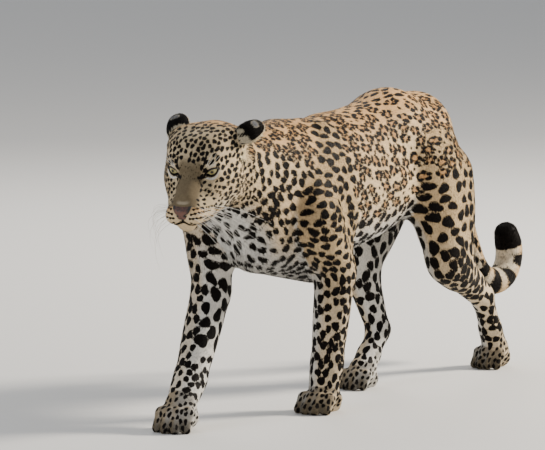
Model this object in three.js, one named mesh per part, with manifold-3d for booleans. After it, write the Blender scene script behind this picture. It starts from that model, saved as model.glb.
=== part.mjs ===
// A leopard at life size, walking: the left foreleg upright under the shoulder, the right
// foreleg reaching out to its next step, the right hind leg forward and the left one behind.
// Millimetres, +Z up, head towards -Y, the animal's left side at +X. The origin is on the
// ground under the middle of the outline.
//
// The animal is a list of masses of flesh laid along its bones and melted together. The
// surface is found on a grid for each named part, and thin plane cuts keep the parts apart.

import * as THREE from 'three';
import { mergeVertices } from 'three/addons/utils/BufferGeometryUtils.js';
import Module from 'manifold-3d';

const wasm = await Module();
wasm.setup();

// Driving dimensions
const GAP = 0.3;                // left between parts that touch
const GROUND_CENTRE_F = -219.7; // from the left forefoot to the middle of the outline, forwards
const GROUND_CENTRE_L = -1;     // the same, to the left
const HEAD_PITCH = THREE.MathUtils.degToRad(-21);
const HEAD_YAW = THREE.MathUtils.degToRad(12.5);
const EYE_RADIUS = 16.5;
const EYE_HALF_SPACING = 40;
const LID_THICKNESS = 3;
const EYE_OPENING = { length: 33, height: 19, slant: THREE.MathUtils.degToRad(15) };
const NOSE = { halfWidth: 20.5, height: 22, depth: 15, rounding: 3 };
const MOUTH_LINE = 2.2;
const EAR = { halfWidth: 28, halfLength: 38, depth: 18, thickness: 4 };
const TAIL_GIRTH = { root: 33, middle: 28, tip: 31 };

// Places are given as (left, forward, up) from the ground under the left forefoot.
const at = (left, forward, up) =>
  new THREE.Vector3(left - GROUND_CENTRE_L, GROUND_CENTRE_F - forward, up);
const shift = (left, forward, up) => new THREE.Vector3(left, -forward, up);
const towards = (left, forward, up) => shift(left, forward, up).normalize();
const SIDEWAYS = towards(1, 0, 0);
const UPWARDS = towards(0, 0, 1);

// Joints of the skeleton in this pose
const HEAD_ORIGIN = at(7.5, 455, 575);     // just below and between the eyes
const NAPE = at(4, 315, 584);
const NECK_ROOT = at(0, 95, 545);
const FORELEGS = {
  left: {
    side: 1, scapula: at(48, -20, 612), shoulder: at(102, 95, 455), elbow: at(86, -26, 312),
    wrist: at(66, -16, 108), knuckles: at(67, 4, 37),
  },
  right: {
    side: -1, scapula: at(-46, 62, 618), shoulder: at(-104, 232, 468), elbow: at(-98, 214, 290),
    wrist: at(-79, 335, 105), knuckles: at(-68, 394, 53),
  },
};
const HINDLEGS = {
  left: {
    side: 1, hip: at(72, -500, 520), knee: at(98, -512, 292), hock: at(78, -734, 178),
    knuckles: at(70, -812, 46),
  },
  right: {
    side: -1, hip: at(-72, -485, 520), knee: at(-86, -392, 322), hock: at(-50, -456, 122),
    knuckles: at(-38, -356, 38),
  },
};

// A point or a direction given in the head's own frame: to its left, forward and up
const headTurn = new THREE.Quaternion()
  .setFromAxisAngle(UPWARDS, HEAD_YAW)
  .multiply(new THREE.Quaternion().setFromAxisAngle(SIDEWAYS, -HEAD_PITCH));
const headWay = (left, forward, up) =>
  new THREE.Vector3(left, -forward, up).applyQuaternion(headTurn);
const onHead = (left, forward, up) => headWay(left, forward, up).add(HEAD_ORIGIN);

// A mass of flesh: a rod from a to b with a radius at each end, fuller in the middle by
// belly, pressed flat along one direction, and blended over a distance with what is there.
function mass(a, b, ra, rb, { belly = 0, flat = 1, along = SIDEWAYS, blend = 24 } = {}) {
  const d = b.clone().sub(a);
  const reach = Math.max(ra, rb) + belly + blend;
  const box = new THREE.Box3().setFromPoints([a, b]).expandByScalar(reach * Math.max(1, flat));
  const n = along.clone().normalize();
  return { a, d, dd: Math.max(d.lengthSq(), 1e-9), ra, rb, belly, flat, n, blend, box };
}

function distanceTo(m, x, y, z) {
  let qx = x - m.a.x;
  let qy = y - m.a.y;
  let qz = z - m.a.z;
  const t = Math.min(1, Math.max(0, (qx * m.d.x + qy * m.d.y + qz * m.d.z) / m.dd));
  qx -= t * m.d.x;
  qy -= t * m.d.y;
  qz -= t * m.d.z;
  const radius = m.ra + (m.rb - m.ra) * t + m.belly * 4 * t * (1 - t);
  if (m.flat === 1) return Math.hypot(qx, qy, qz) - radius;
  const w = qx * m.n.x + qy * m.n.y + qz * m.n.z;
  const rest = Math.max(0, qx * qx + qy * qy + qz * qz - w * w);
  const once = Math.sqrt(rest + (w / m.flat) ** 2);
  const twice = Math.sqrt(rest + (w / m.flat ** 2) ** 2);
  return ((once - radius) * once) / Math.max(twice, 1e-6);
}

// The distance to the skin of all the masses, blended into one another
function fieldOf(masses, margin = 0) {
  return (x, y, z) => {
    let d = 1e3;
    for (const m of masses) {
      const one = distanceTo(m, x, y, z);
      const h = Math.max(0, m.blend - Math.abs(d - one)) / m.blend;
      d = Math.min(d, one) - (h * h * m.blend) / 4;
    }
    return d - margin;
  };
}

// The trunk: ribs, breastbone, belly, loin, pelvis and the low back between the shoulders
function trunk() {
  return [
    mass(at(0, 70, 508), at(0, -90, 500), 126, 138, { flat: 0.7, blend: 40 }),
    mass(at(0, -90, 500), at(0, -270, 508), 140, 130, { flat: 0.74, blend: 60 }),
    mass(at(0, 175, 408), at(0, -60, 350), 80, 70, { flat: 0.92, blend: 60 }),
    mass(at(0, -200, 470), at(0, -430, 492), 120, 104, { flat: 0.8, blend: 60 }),
    mass(at(0, -130, 588), at(0, -400, 626), 62, 66, { flat: 1.1, blend: 60 }),
    mass(at(0, -390, 600), at(0, -530, 594), 90, 88, { flat: 0.95, blend: 50 }),
    mass(at(0, -530, 575), at(0, -612, 548), 84, 66, { flat: 0.95, blend: 50 }),
  ];
}

function neck() {
  return [
    mass(NECK_ROOT, NAPE, 106, 76, { flat: 0.84, blend: 60 }),
    mass(at(0, 190, 455), onHead(0, -85, -45), 92, 58, { flat: 0.9, blend: 50 }),
    mass(at(0, 0, 600), NAPE, 52, 52, { flat: 0.9, blend: 50 }),
  ];
}

// The shoulder and upper arm, which move with the leg
function shoulder(leg) {
  const { side, scapula, shoulder: point, elbow } = leg;
  const out = towards(side, 0, 0);
  const blade = { belly: 14, flat: 0.62, along: towards(side, 0.12, 0.25), blend: 34 };
  const triceps = scapula.clone().lerp(point, 0.45).add(shift(0, -55, -8));
  const heel = elbow.clone().add(shift(0, -22, 22));
  return [
    mass(scapula, point, 36, 58, blade),
    mass(point, elbow, 56, 44, { belly: 8, flat: 0.82, along: out, blend: 34 }),
    mass(triceps, heel, 44, 24, { belly: 14, flat: 0.66, along: out, blend: 34 }),
  ];
}

// A paw: the knuckle mass, the sole pad and four toes, with the dewclaw of a forepaw
function paw(leg, { from, heading, width, length, dewclaw }) {
  const { knuckles, side } = leg;
  const drop = knuckles.z;
  const sideways = new THREE.Vector3().crossVectors(heading, UPWARDS).normalize();
  const step = (out, ahead, up) => knuckles.clone()
    .addScaledVector(sideways, out)
    .addScaledVector(heading, ahead)
    .addScaledVector(UPWARDS, up);
  const masses = [
    mass(from, step(0, 0, 0), width * 0.3, width * 0.29, { flat: 1.12, along: sideways, blend: 18 }),
    mass(step(0, -16, -drop * 0.5), step(0, 8, -drop * 0.6), width * 0.35, width * 0.3,
      { flat: 1.18, along: sideways, blend: 14 }),
    mass(step(0, 0, 2), step(0, length * 0.5, 4 - drop * 0.42), width * 0.3, width * 0.2,
      { flat: 1.3, along: sideways, blend: 16 }),
  ];
  for (let toe = 0; toe < 4; toe += 1) {
    const across = (toe - 1.5) / 1.5;                 // -1 to 1
    const reach = length * (1 - 0.22 * across * across);
    const root = step(across * width * 0.25, 2, -drop * 0.1);
    const knee = step(across * width * 0.35, reach * 0.6, 13 - drop * 0.5);
    const tip = step(across * width * 0.38, reach, 10 - drop);
    masses.push(mass(root, knee, width * 0.15, width * 0.17, { blend: 9 }));
    masses.push(mass(knee, tip, width * 0.17, width * 0.15, { blend: 7 }));
  }
  if (dewclaw) {
    const claw = from.clone().addScaledVector(SIDEWAYS, -side * 20);
    masses.push(mass(claw, step(-side * 30, -12, -8), 12, 12, { blend: 9 }));
  }
  return masses;
}

function forelegBelow(leg) {
  const { side, elbow, wrist, knuckles } = leg;
  const out = towards(side, 0, 0);
  const heading = knuckles.clone().sub(wrist).setZ(0).normalize();
  const extensor = elbow.clone().add(shift(-side * 4, 14, -16));
  const middle = wrist.clone().lerp(knuckles, 0.5);
  const from = wrist.clone().lerp(knuckles, 0.4);
  return [
    mass(elbow, wrist, 42, 31, { belly: 3, flat: 0.92, along: out, blend: 24 }),
    mass(extensor, wrist, 38, 30, { belly: 3, flat: 0.95, along: out, blend: 24 }),
    mass(wrist, middle, 33, 33, { flat: 1.08, along: out, blend: 20 }),
    ...paw(leg, { from, heading, width: 88, length: 66, dewclaw: true }),
  ];
}

function thigh(leg) {
  const { side, hip, knee, hock } = leg;
  const out = towards(side, 0, 0);
  const front = hip.clone().add(shift(0, 46, 20));
  const seat = hip.clone().add(shift(-side * 4, -96, -40));
  const calfTop = knee.clone().lerp(hock, 0.34);
  return [
    mass(front, knee, 72, 48, { belly: 12, flat: 0.7, along: out, blend: 40 }),
    mass(hip, knee.clone().lerp(hock, 0.18), 80, 42, { belly: 12, flat: 0.68, along: out, blend: 40 }),
    mass(seat, calfTop, 66, 34, { belly: 12, flat: 0.7, along: out, blend: 40 }),
  ];
}

function hindlegBelow(leg) {
  const { side, knee, hock, knuckles } = leg;
  const out = towards(side, 0, 0);
  const shin = hock.clone().sub(knee).normalize();
  const behind = new THREE.Vector3().crossVectors(shin, SIDEWAYS).normalize();
  if (behind.y < 0) behind.negate();
  const calf = knee.clone().lerp(hock, 0.3).addScaledVector(behind, 22);
  const heelBone = hock.clone().addScaledVector(behind, 20).addScaledVector(shin, -8);
  const from = hock.clone().lerp(knuckles, 0.6);
  return [
    mass(knee, hock.clone().add(shift(0, 6, 0)), 48, 28, { flat: 0.86, along: out, blend: 26 }),
    mass(calf, heelBone, 36, 14, { flat: 0.8, along: out, blend: 24 }),
    mass(hock, knuckles, 28, 26, { flat: 0.95, along: out, blend: 18 }),
    ...paw(leg, { from, heading: towards(0, 1, 0), width: 78, length: 60 }),
  ];
}

// The tail as a curve from its root; it hangs behind the left thigh and curls up at its end.
const TAIL = new THREE.CatmullRomCurve3([
  at(0, -575, 590), at(0, -650, 574), at(-4, -712, 510), at(-8, -757, 412), at(-6, -800, 306),
  at(4, -838, 228), at(18, -880, 196), at(28, -928, 206), at(31, -956, 250), at(30, -950, 290),
  at(29, -944, 306),
], false, 'centripetal');

function tailRadius(t) {
  const { root, middle, tip } = TAIL_GIRTH;
  return t < 0.35
    ? THREE.MathUtils.lerp(root, middle, t / 0.35)
    : THREE.MathUtils.lerp(middle, tip, (t - 0.35) / 0.65);
}

// The head, in its own frame: what lies in the middle first, then what comes in pairs
const ORBITS = [1, -1].map((side) => onHead(side * EYE_HALF_SPACING, -6, 10));

function head() {
  const one = (a, b, ra, rb, options) => mass(onHead(...a), onHead(...b), ra, rb, options);
  const across = headWay(1, 0, 0);
  const upright = headWay(0, 0, 1);
  const masses = [
    one([0, -34, 12], [0, -92, 15], 46, 50, { flat: 1.2, along: across, blend: 30 }),
    one([0, -4, 8], [0, -44, 25], 28, 41, { flat: 1.15, along: across, blend: 26 }),
    one([0, 4, 0], [0, 66, -26], 26, 21, { flat: 1.02, along: across, blend: 18 }),
    one([0, 42, -18], [0, 80, -37], 20, 18, { flat: 1.34, along: across, blend: 10 }),
    one([0, 54, -72], [0, 80, -80], 24, 18, { flat: 1.2, along: across, blend: 16 }),
    one([0, -95, -12], [0, -130, -8], 60, 64, { blend: 40 }),
    one([0, -60, -60], [0, 16, -66], 46, 32, { flat: 1.1, along: across, blend: 30 }),
  ];
  for (const side of [-1, 1]) {
    masses.push(
      one([side * 21, 52, -53], [side * 20, 86, -55], 27, 24, { flat: 0.96, along: upright, blend: 14 }),
      one([side * 46, -16, -12], [side * 59, -58, -10], 23, 24, { blend: 26 }),
      one([side * 38, 12, -34], [side * 54, -44, -38], 24, 33, { blend: 26 }),
      one([side * 30, 26, -66], [side * 46, -60, -60], 22, 33, { blend: 28 }),
      one([side * 23, 6, 24], [side * 45, -16, 26], 12, 14, { blend: 16 }),
      one([side * 40, -56, 26], [side * 42, -98, 28], 33, 35, { blend: 30 }),
      one([side * 58, -88, 30], [side * 64, -98, 36], 26, 20, { blend: 22 }),
    );
  }
  for (const eye of ORBITS) {
    const socket = EYE_RADIUS + LID_THICKNESS;
    masses.push(mass(eye, eye.clone(), socket, socket, { blend: 12 }));
  }
  return masses;
}

// Where flesh meets only corner to corner on a cell's side, one of the gaps is filled in
function closeCheckers(values, strides) {
  const pairs = [[0, 1], [1, 2], [0, 2]].map(([a, b]) => [strides[a], strides[b]]);
  const end = values.length - strides[2] - strides[1] - strides[0];
  for (let pass = 0, found = true; found && pass < 6; pass += 1) {
    found = false;
    for (let home = 0; home < end; home += 1) {
      for (const [u, v] of pairs) {
        const ring = [home, home + u, home + u + v, home + v];
        const [a, b, c, d] = ring.map((i) => values[i] < 0);
        if (a !== c || b !== d || a === b) continue;
        const outside = a ? [ring[1], ring[3]] : [ring[0], ring[2]];
        const nearer = values[outside[0]] < values[outside[1]] ? outside[0] : outside[1];
        values[nearer] = -0.05;
        found = true;
      }
    }
  }
}

// A cell grid over a box: the surface where the field is zero, as a closed mesh. Each cell
// that the surface crosses gets one point, which is then drawn on to the surface.
function surfaceOf(field, box, cell) {
  const size = box.getSize(new THREE.Vector3());
  const [nx, ny, nz] = ['x', 'y', 'z'].map((axis) => Math.ceil(size[axis] / cell) + 1);
  const values = new Float32Array(nx * ny * nz);
  const index = (i, j, k) => i + nx * (j + ny * k);
  for (let k = 0; k < nz; k += 1) {
    for (let j = 0; j < ny; j += 1) {
      for (let i = 0; i < nx; i += 1) {
        const edge = i === 0 || j === 0 || k === 0 || i === nx - 1 || j === ny - 1 || k === nz - 1;
        const d = edge ? cell : field(box.min.x + i * cell, box.min.y + j * cell, box.min.z + k * cell);
        values[index(i, j, k)] = d || 1e-6;
      }
    }
  }
  const strides = [1, nx, nx * ny];
  closeCheckers(values, strides);
  const corners = [0, 1, nx, nx + 1, nx * ny, nx * ny + 1, nx * ny + nx, nx * ny + nx + 1];
  const points = [];
  const pointOf = new Int32Array(values.length).fill(-1);
  for (let k = 0; k < nz - 1; k += 1) {
    for (let j = 0; j < ny - 1; j += 1) {
      for (let i = 0; i < nx - 1; i += 1) {
        const home = index(i, j, k);
        const inside = corners.map((c) => values[home + c] < 0);
        if (inside.every(Boolean) || !inside.some(Boolean)) continue;
        const sum = new THREE.Vector3();
        let count = 0;
        for (let a = 0; a < 8; a += 1) {
          for (const bit of [1, 2, 4]) {
            const b = a | bit;
            if (b === a || inside[a] === inside[b]) continue;
            const va = values[home + corners[a]];
            const t = va / (va - values[home + corners[b]]);
            const [alongX, alongY, alongZ] = [1, 2, 4].map((side) => (bit === side ? t : 0));
            sum.add(new THREE.Vector3((a & 1) + alongX, ((a >> 1) & 1) + alongY, (a >> 2) + alongZ));
            count += 1;
          }
        }
        const p = sum.divideScalar(count).add(new THREE.Vector3(i, j, k)).multiplyScalar(cell).add(box.min);
        pointOf[home] = points.length;
        points.push(p);
      }
    }
  }
  const step = cell * 0.1;
  const rim = box.clone().expandByScalar(-1.2 * cell);
  for (const p of points) {
    if (!rim.containsPoint(p)) continue;
    for (let pass = 0; pass < 3; pass += 1) {
      const d = field(p.x, p.y, p.z);
      const slope = new THREE.Vector3(
        field(p.x + step, p.y, p.z) - d, field(p.x, p.y + step, p.z) - d, field(p.x, p.y, p.z + step) - d)
        .divideScalar(step);
      const move = slope.multiplyScalar(-d / Math.max(slope.lengthSq(), 0.2));
      p.add(move.clampLength(0, cell * 0.4));
    }
  }
  const faces = [];
  const quad = (a, b, c, d, flip) => {
    const [p, q, r, s] = (flip ? [a, d, c, b] : [a, b, c, d]).map((n) => pointOf[n]);
    const short = points[p].distanceToSquared(points[r]) < points[q].distanceToSquared(points[s]);
    faces.push(...(short ? [p, q, r, p, r, s] : [q, r, s, q, s, p]));
  };
  for (let k = 0; k < nz - 1; k += 1) {
    for (let j = 0; j < ny - 1; j += 1) {
      for (let i = 0; i < nx - 1; i += 1) {
        const home = index(i, j, k);
        const place = [i, j, k];
        for (let axis = 0; axis < 3; axis += 1) {
          if (place[(axis + 1) % 3] === 0 || place[(axis + 2) % 3] === 0) continue;
          const here = values[home] < 0;
          if (here === values[home + strides[axis]] < 0) continue;
          const u = strides[(axis + 1) % 3];
          const v = strides[(axis + 2) % 3];
          quad(home - u - v, home - v, home, home - u, !here);
        }
      }
    }
  }
  const geometry = new THREE.BufferGeometry();
  const places = new Float32Array(points.flatMap((p) => p.toArray()));
  geometry.setAttribute('position', new THREE.BufferAttribute(places, 3));
  geometry.setIndex(faces);
  return geometry;
}

// Solids: made from a closed geometry, cut and joined, and turned back into a geometry
function solidOf(geometry) {
  const bare = geometry.clone();
  bare.deleteAttribute('normal');
  bare.deleteAttribute('uv');
  const merged = mergeVertices(bare, 1e-4);
  return new wasm.Manifold(new wasm.Mesh({
    numProp: 3,
    vertProperties: merged.attributes.position.array,
    triVerts: new Uint32Array(merged.index.array),
  }));
}

function geometryOf(solid) {
  const largest = solid.decompose().reduce((a, b) => (b.volume() > a.volume() ? b : a));
  const { vertProperties, triVerts } = largest.getMesh();
  const geometry = new THREE.BufferGeometry();
  geometry.setAttribute('position', new THREE.BufferAttribute(vertProperties, 3));
  geometry.setIndex(withoutShortEdges(vertProperties, triVerts));
  geometry.computeVertexNormals();
  return geometry;
}

// Cuts leave edges too short to see, whose two ends become one point here
const SHORT_EDGE = 0.08;

function withoutShortEdges(places, corners) {
  const home = Array.from({ length: places.length / 3 }, (_, i) => i);
  const rootOf = (i) => (home[i] === i ? i : rootOf(home[i]));
  const apart = (i, j) => Math.hypot(...[0, 1, 2].map((n) => places[3 * i + n] - places[3 * j + n]));
  for (let c = 0; c < corners.length; c += 1) {
    const i = rootOf(corners[c]);
    const j = rootOf(corners[c % 3 === 2 ? c - 2 : c + 1]);
    if (i !== j && apart(i, j) < SHORT_EDGE) home[j] = i;
  }
  const faces = [];
  for (let c = 0; c < corners.length; c += 3) {
    const face = [rootOf(corners[c]), rootOf(corners[c + 1]), rootOf(corners[c + 2])];
    if (new Set(face).size === 3) faces.push(face);
  }
  const key = (face) => [...face].sort((a, b) => a - b).join();
  const count = new Map();
  faces.forEach((face) => count.set(key(face), (count.get(key(face)) ?? 0) + 1));
  return faces.filter((face) => count.get(key(face)) === 1).flat();
}

// Everything on the far side of a plane, as a block to take away
const BLOCK = 3000;
const plane = (point, normal) => ({ point, normal: normal.clone().normalize() });
const otherSide = ({ point, normal }) => ({ point, normal: normal.clone().negate() });

function beyond({ point, normal }, back = GAP / 2) {
  const turn = new THREE.Quaternion().setFromUnitVectors(UPWARDS, normal);
  const block = new THREE.BoxGeometry(BLOCK, BLOCK, BLOCK).translate(0, 0, BLOCK / 2 - back);
  return solidOf(block.applyQuaternion(turn).translate(point.x, point.y, point.z));
}

// A closed round bar along a curve between two of its lengths, its end rounded off if wished
function bar(curve, radiusAt, { from = 0, to = 1, rings = 8, sides = 12, roundEnd = false }) {
  const rows = [];
  for (let i = 0; i <= rings; i += 1) {
    const t = THREE.MathUtils.lerp(from, to, i / rings);
    rows.push({ centre: curve.getPointAt(t), way: curve.getTangentAt(t), radius: radiusAt(t) });
  }
  if (roundEnd) {
    const { centre, way, radius } = rows[rings];
    for (const angle of [25, 50, 72]) {
      const turn = THREE.MathUtils.degToRad(angle);
      const on = centre.clone().addScaledVector(way, radius * Math.sin(turn));
      rows.push({ centre: on, way, radius: radius * Math.cos(turn) });
    }
  }
  const across = new THREE.Vector3().crossVectors(rows[0].way, SIDEWAYS).normalize();
  const points = [];
  for (const { centre, way, radius } of rows) {
    across.addScaledVector(way, -across.dot(way)).normalize();
    const third = new THREE.Vector3().crossVectors(way, across);
    for (let s = 0; s < sides; s += 1) {
      const turn = (2 * Math.PI * s) / sides;
      points.push(centre.clone()
        .addScaledVector(across, radius * Math.cos(turn))
        .addScaledVector(third, radius * Math.sin(turn)));
    }
  }
  const first = points.push(rows[0].centre.clone()) - 1;
  const lastRow = rows[rows.length - 1];
  const last = points.push(lastRow.centre.clone()) - 1;
  const faces = [];
  for (let s = 0; s < sides; s += 1) {
    const next = (s + 1) % sides;
    faces.push(first, next, s);
    faces.push(last, (rows.length - 1) * sides + s, (rows.length - 1) * sides + next);
    for (let r = 0; r < rows.length - 1; r += 1) {
      const [a, b] = [r * sides + s, r * sides + next];
      faces.push(a, b, b + sides, a, b + sides, a + sides);
    }
  }
  const geometry = new THREE.BufferGeometry();
  const places = new Float32Array(points.flatMap((p) => p.toArray()));
  geometry.setAttribute('position', new THREE.BufferAttribute(places, 3));
  geometry.setIndex(faces);
  return geometry;
}

// The side-on outline that a leg takes from the trunk, with a sloping plane inside it
function territory({ side, outline, crotch, ridge }, grow) {
  const corners = outline.map(([f, z]) => new THREE.Vector3(f, z, 0));
  const ring = new THREE.CatmullRomCurve3(corners, true).getPoints(26).slice(0, -1);
  const centre = ring.reduce((sum, p) => sum.add(p), new THREE.Vector3()).divideScalar(ring.length);
  const widen = 1 + grow / 60;
  const shape = new THREE.Shape(ring.map((p) =>
    new THREE.Vector2(centre.x + (p.x - centre.x) * widen, centre.y + (p.y - centre.y) * widen)));
  const deep = 400;
  const prism = new THREE.ExtrudeGeometry(shape, { depth: deep, bevelEnabled: false, curveSegments: 1 });
  const frame = new THREE.Matrix4().makeBasis(towards(0, 1, 0), UPWARDS, towards(-1, 0, 0));
  prism.applyMatrix4(frame).translate(side > 0 ? deep : 0, at(0, 0, 0).y, 0);
  const low = at(side * crotch[0], 0, crotch[1]);
  const high = at(side * ridge[0], 0, ridge[1]);
  const inward = new THREE.Vector3().crossVectors(high.sub(low), towards(0, 1, 0)).normalize();
  if (inward.x * side > 0) inward.negate();
  return solidOf(prism).subtract(beyond(plane(low, inward), -grow));
}

// Where the named parts are cut from one another; each plane faces the part named
const HEAD_CUT = plane(onHead(0, -112, 0), headWay(0, -1, -0.12));        // neck
const NECK_CUT = plane(at(0, 150, 520), towards(0, 0.86, 0.5));           // neck
const TAIL_CUT = plane(at(0, -628, 580), towards(0, -0.94, -0.34));       // tail

const LEGS = [
  {
    name: 'foreleg_left', side: 1, leg: FORELEGS.left, upper: shoulder, lower: forelegBelow,
    outline: [[-56, 232], [40, 236], [118, 330], [172, 410], [176, 500], [110, 566], [20, 590],
      [-50, 540], [-96, 450], [-112, 350], [-100, 262]],
    crotch: [26, 300], ridge: [70, 560],
    joint: plane(at(84, -22, 270), FORELEGS.left.wrist.clone().sub(FORELEGS.left.elbow)),
    ankle: plane(at(66, -14, 98), towards(0, 0.15, -1)),
    box: [[0, -150, -12], [200, 200, 640]], names: ['shoulder', 'forearm', 'paw'],
  },
  {
    name: 'foreleg_right', side: -1, leg: FORELEGS.right, upper: shoulder, lower: forelegBelow,
    outline: [[148, 196], [262, 196], [300, 300], [316, 410], [304, 500], [232, 580], [130, 606],
      [58, 560], [36, 480], [84, 390], [122, 290]],
    crotch: [26, 300], ridge: [70, 560],
    joint: plane(at(-92, 236, 246), FORELEGS.right.wrist.clone().sub(FORELEGS.right.elbow)),
    ankle: plane(at(-77, 334, 104), towards(0, 0.6, -0.8)),
    box: [[-200, 30, -12], [0, 510, 650]], names: ['shoulder', 'forearm', 'paw'],
  },
  {
    name: 'hindleg_left', side: 1, leg: HINDLEGS.left, upper: thigh, lower: hindlegBelow,
    outline: [[-490, 190], [-440, 270], [-412, 380], [-420, 480], [-460, 570], [-540, 606],
      [-618, 570], [-682, 480], [-700, 380], [-692, 280], [-624, 200]],
    crotch: [18, 330], ridge: [58, 590],
    joint: plane(at(90, -588, 252), HINDLEGS.left.hock.clone().sub(HINDLEGS.left.knee)),
    ankle: plane(at(74, -778, 102), HINDLEGS.left.knuckles.clone().sub(HINDLEGS.left.hock)),
    box: [[-10, -890, -12], [200, -370, 680]], names: ['thigh', 'shank', 'paw'],
  },
  {
    name: 'hindleg_right', side: -1, leg: HINDLEGS.right, upper: thigh, lower: hindlegBelow,
    outline: [[-342, 250], [-322, 330], [-336, 420], [-376, 510], [-446, 585], [-536, 606],
      [-612, 570], [-664, 480], [-648, 380], [-580, 300], [-490, 220], [-404, 205]],
    crotch: [18, 330], ridge: [58, 590],
    joint: plane(at(-76, -410, 262), HINDLEGS.right.hock.clone().sub(HINDLEGS.right.knee)),
    ankle: plane(at(-45, -416, 88), HINDLEGS.right.knuckles.clone().sub(HINDLEGS.right.hock)),
    box: [[-200, -700, -12], [10, -260, 680]], names: ['thigh', 'shank', 'paw'],
  },
].map((leg) => ({ ...leg, upper: leg.upper(leg.leg), lower: leg.lower(leg.leg) }));

const tailRoot = mass(TAIL.getPointAt(0), TAIL.getPointAt(0.14), 34, 32, { blend: 34 });
const everyMass = [
  ...trunk(), ...neck(), ...LEGS.flatMap((leg) => [...leg.upper, ...leg.lower]), tailRoot, ...head(),
];

// A closed solid of the surface within a box given by two corners (left, forward, up)
function fleshWithin(masses, [low, high], cell, margin = 0) {
  const box = new THREE.Box3().setFromPoints([at(...low), at(...high)]);
  const near = masses.filter((m) => m.box.intersectsBox(box));
  return solidOf(surfaceOf(fieldOf(near, margin), box, cell));
}

const parts = new Map();

// Torso, neck and the four legs
const territories = LEGS.map((leg) => ({ own: territory(leg, 0), grown: territory(leg, GAP) }));
let torso = fleshWithin(everyMass, [[-220, -740, 250], [220, 330, 740]], 35)
  .subtract(beyond(NECK_CUT))
  .subtract(beyond(TAIL_CUT));
let throat = fleshWithin(everyMass, [[-220, 40, 250], [220, 420, 740]], 27)
  .subtract(beyond(otherSide(NECK_CUT)))
  .subtract(beyond(otherSide(HEAD_CUT)));
for (const { grown } of territories) {
  torso = torso.subtract(grown);
  throat = throat.subtract(grown);
}
parts.set('torso', torso);
parts.set('neck', throat);

const FLOOR = plane(new THREE.Vector3(), new THREE.Vector3(0, 0, -1));
LEGS.forEach(({ name, names, lower, joint, ankle, box }, i) => {
  const upperFlesh = fleshWithin(everyMass, box, 26);
  parts.set(`${name}_${names[0]}`, upperFlesh.intersect(territories[i].own).subtract(beyond(joint)));
  const lowerFlesh = fleshWithin(lower, box, 19);
  parts.set(`${name}_${names[1]}`, lowerFlesh.subtract(beyond(otherSide(joint))).subtract(beyond(ankle)));
  const pawFlesh = fleshWithin(lower, box, 12.8);
  parts.set(`${name}_${names[2]}`, pawFlesh.subtract(beyond(otherSide(ankle))).subtract(beyond(FLOOR, 0)));
});

// The tail in four lengths
const TAIL_LENGTHS = [['tail_root', 0, 0.3], ['tail_middle', 0.3, 0.56], ['tail_bend', 0.56, 0.8],
  ['tail_tip', 0.8, 1]];
const tailGap = GAP / TAIL.getLength();
for (const [name, start, end] of TAIL_LENGTHS) {
  const from = start + (start > 0 ? tailGap : 0);
  const piece = bar(TAIL, tailRadius, { from, to: end, rings: 7, roundEnd: end === 1 });
  parts.set(name, solidOf(piece).subtract(beyond(otherSide(TAIL_CUT))));
}

// The head, with its two orbits, the slits between the lids, the nose's seat and the mouth
const HEAD_BOX = [[-150, 250, 400], [190, 630, 740]];
let skull = fleshWithin(everyMass, HEAD_BOX, 12).subtract(beyond(HEAD_CUT));

const ball = (centre, radius) => solidOf(new THREE.SphereGeometry(radius, 16, 10)
  .translate(centre.x, centre.y, centre.z));

function lidSlit(eye, side) {
  const { length, height, slant } = EYE_OPENING;
  const half = length / 2;
  const almond = new THREE.Shape();
  almond.moveTo(-half, 0);
  almond.quadraticCurveTo(-half * 0.2, height * 1.05, half, 0);
  almond.quadraticCurveTo(0, -height * 0.95, -half, 0);
  const prism = new THREE.ExtrudeGeometry(almond, { depth: 60, bevelEnabled: false, curveSegments: 6 });
  const gaze = headWay(side * 0.3, 0.95, 0.04).normalize();
  const level = new THREE.Vector3().crossVectors(headWay(0, 0, 1), gaze).normalize();
  level.applyAxisAngle(gaze, side * slant);
  const up = new THREE.Vector3().crossVectors(gaze, level);
  prism.applyMatrix4(new THREE.Matrix4().makeBasis(level, up, gaze));
  return solidOf(prism.translate(eye.x, eye.y, eye.z));
}

ORBITS.forEach((eye, i) => {
  const side = i === 0 ? 1 : -1;
  skull = skull.subtract(ball(eye, EYE_RADIUS + GAP)).subtract(lidSlit(eye, side));
  parts.set(side > 0 ? 'eye_left' : 'eye_right', ball(eye, EYE_RADIUS));
});

// The nose: a leather wedge, broad above and narrow below, with two nostrils
const NOSE_FRAME = new THREE.Matrix4()
  .makeBasis(headWay(1, 0, 0), headWay(0, 0.22, 0.975), headWay(0, 0.975, -0.22));
const NOSE_PLACE = onHead(0, 93, -41);

function leather(grow) {
  const { halfWidth, height, depth, rounding } = NOSE;
  const w = halfWidth - rounding + grow;
  const top = height * 0.42 - rounding + grow;
  const foot = height * 0.58 - rounding + grow;
  const outline = new THREE.Shape();
  outline.moveTo(-w, top * 0.4);
  outline.quadraticCurveTo(-w * 0.8, top, -w * 0.35, top);
  outline.lineTo(w * 0.35, top);
  outline.quadraticCurveTo(w * 0.8, top, w, top * 0.4);
  outline.quadraticCurveTo(w * 0.85, -foot * 0.6, w * 0.25, -foot);
  outline.lineTo(-w * 0.25, -foot);
  outline.quadraticCurveTo(-w * 0.85, -foot * 0.6, -w, top * 0.4);
  const wedge = new THREE.ExtrudeGeometry(outline, {
    depth: depth + grow, bevelThickness: rounding, bevelSize: rounding, bevelSegments: 2, curveSegments: 3,
  });
  wedge.applyMatrix4(NOSE_FRAME).translate(NOSE_PLACE.x, NOSE_PLACE.y, NOSE_PLACE.z);
  return solidOf(wedge);
}

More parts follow.
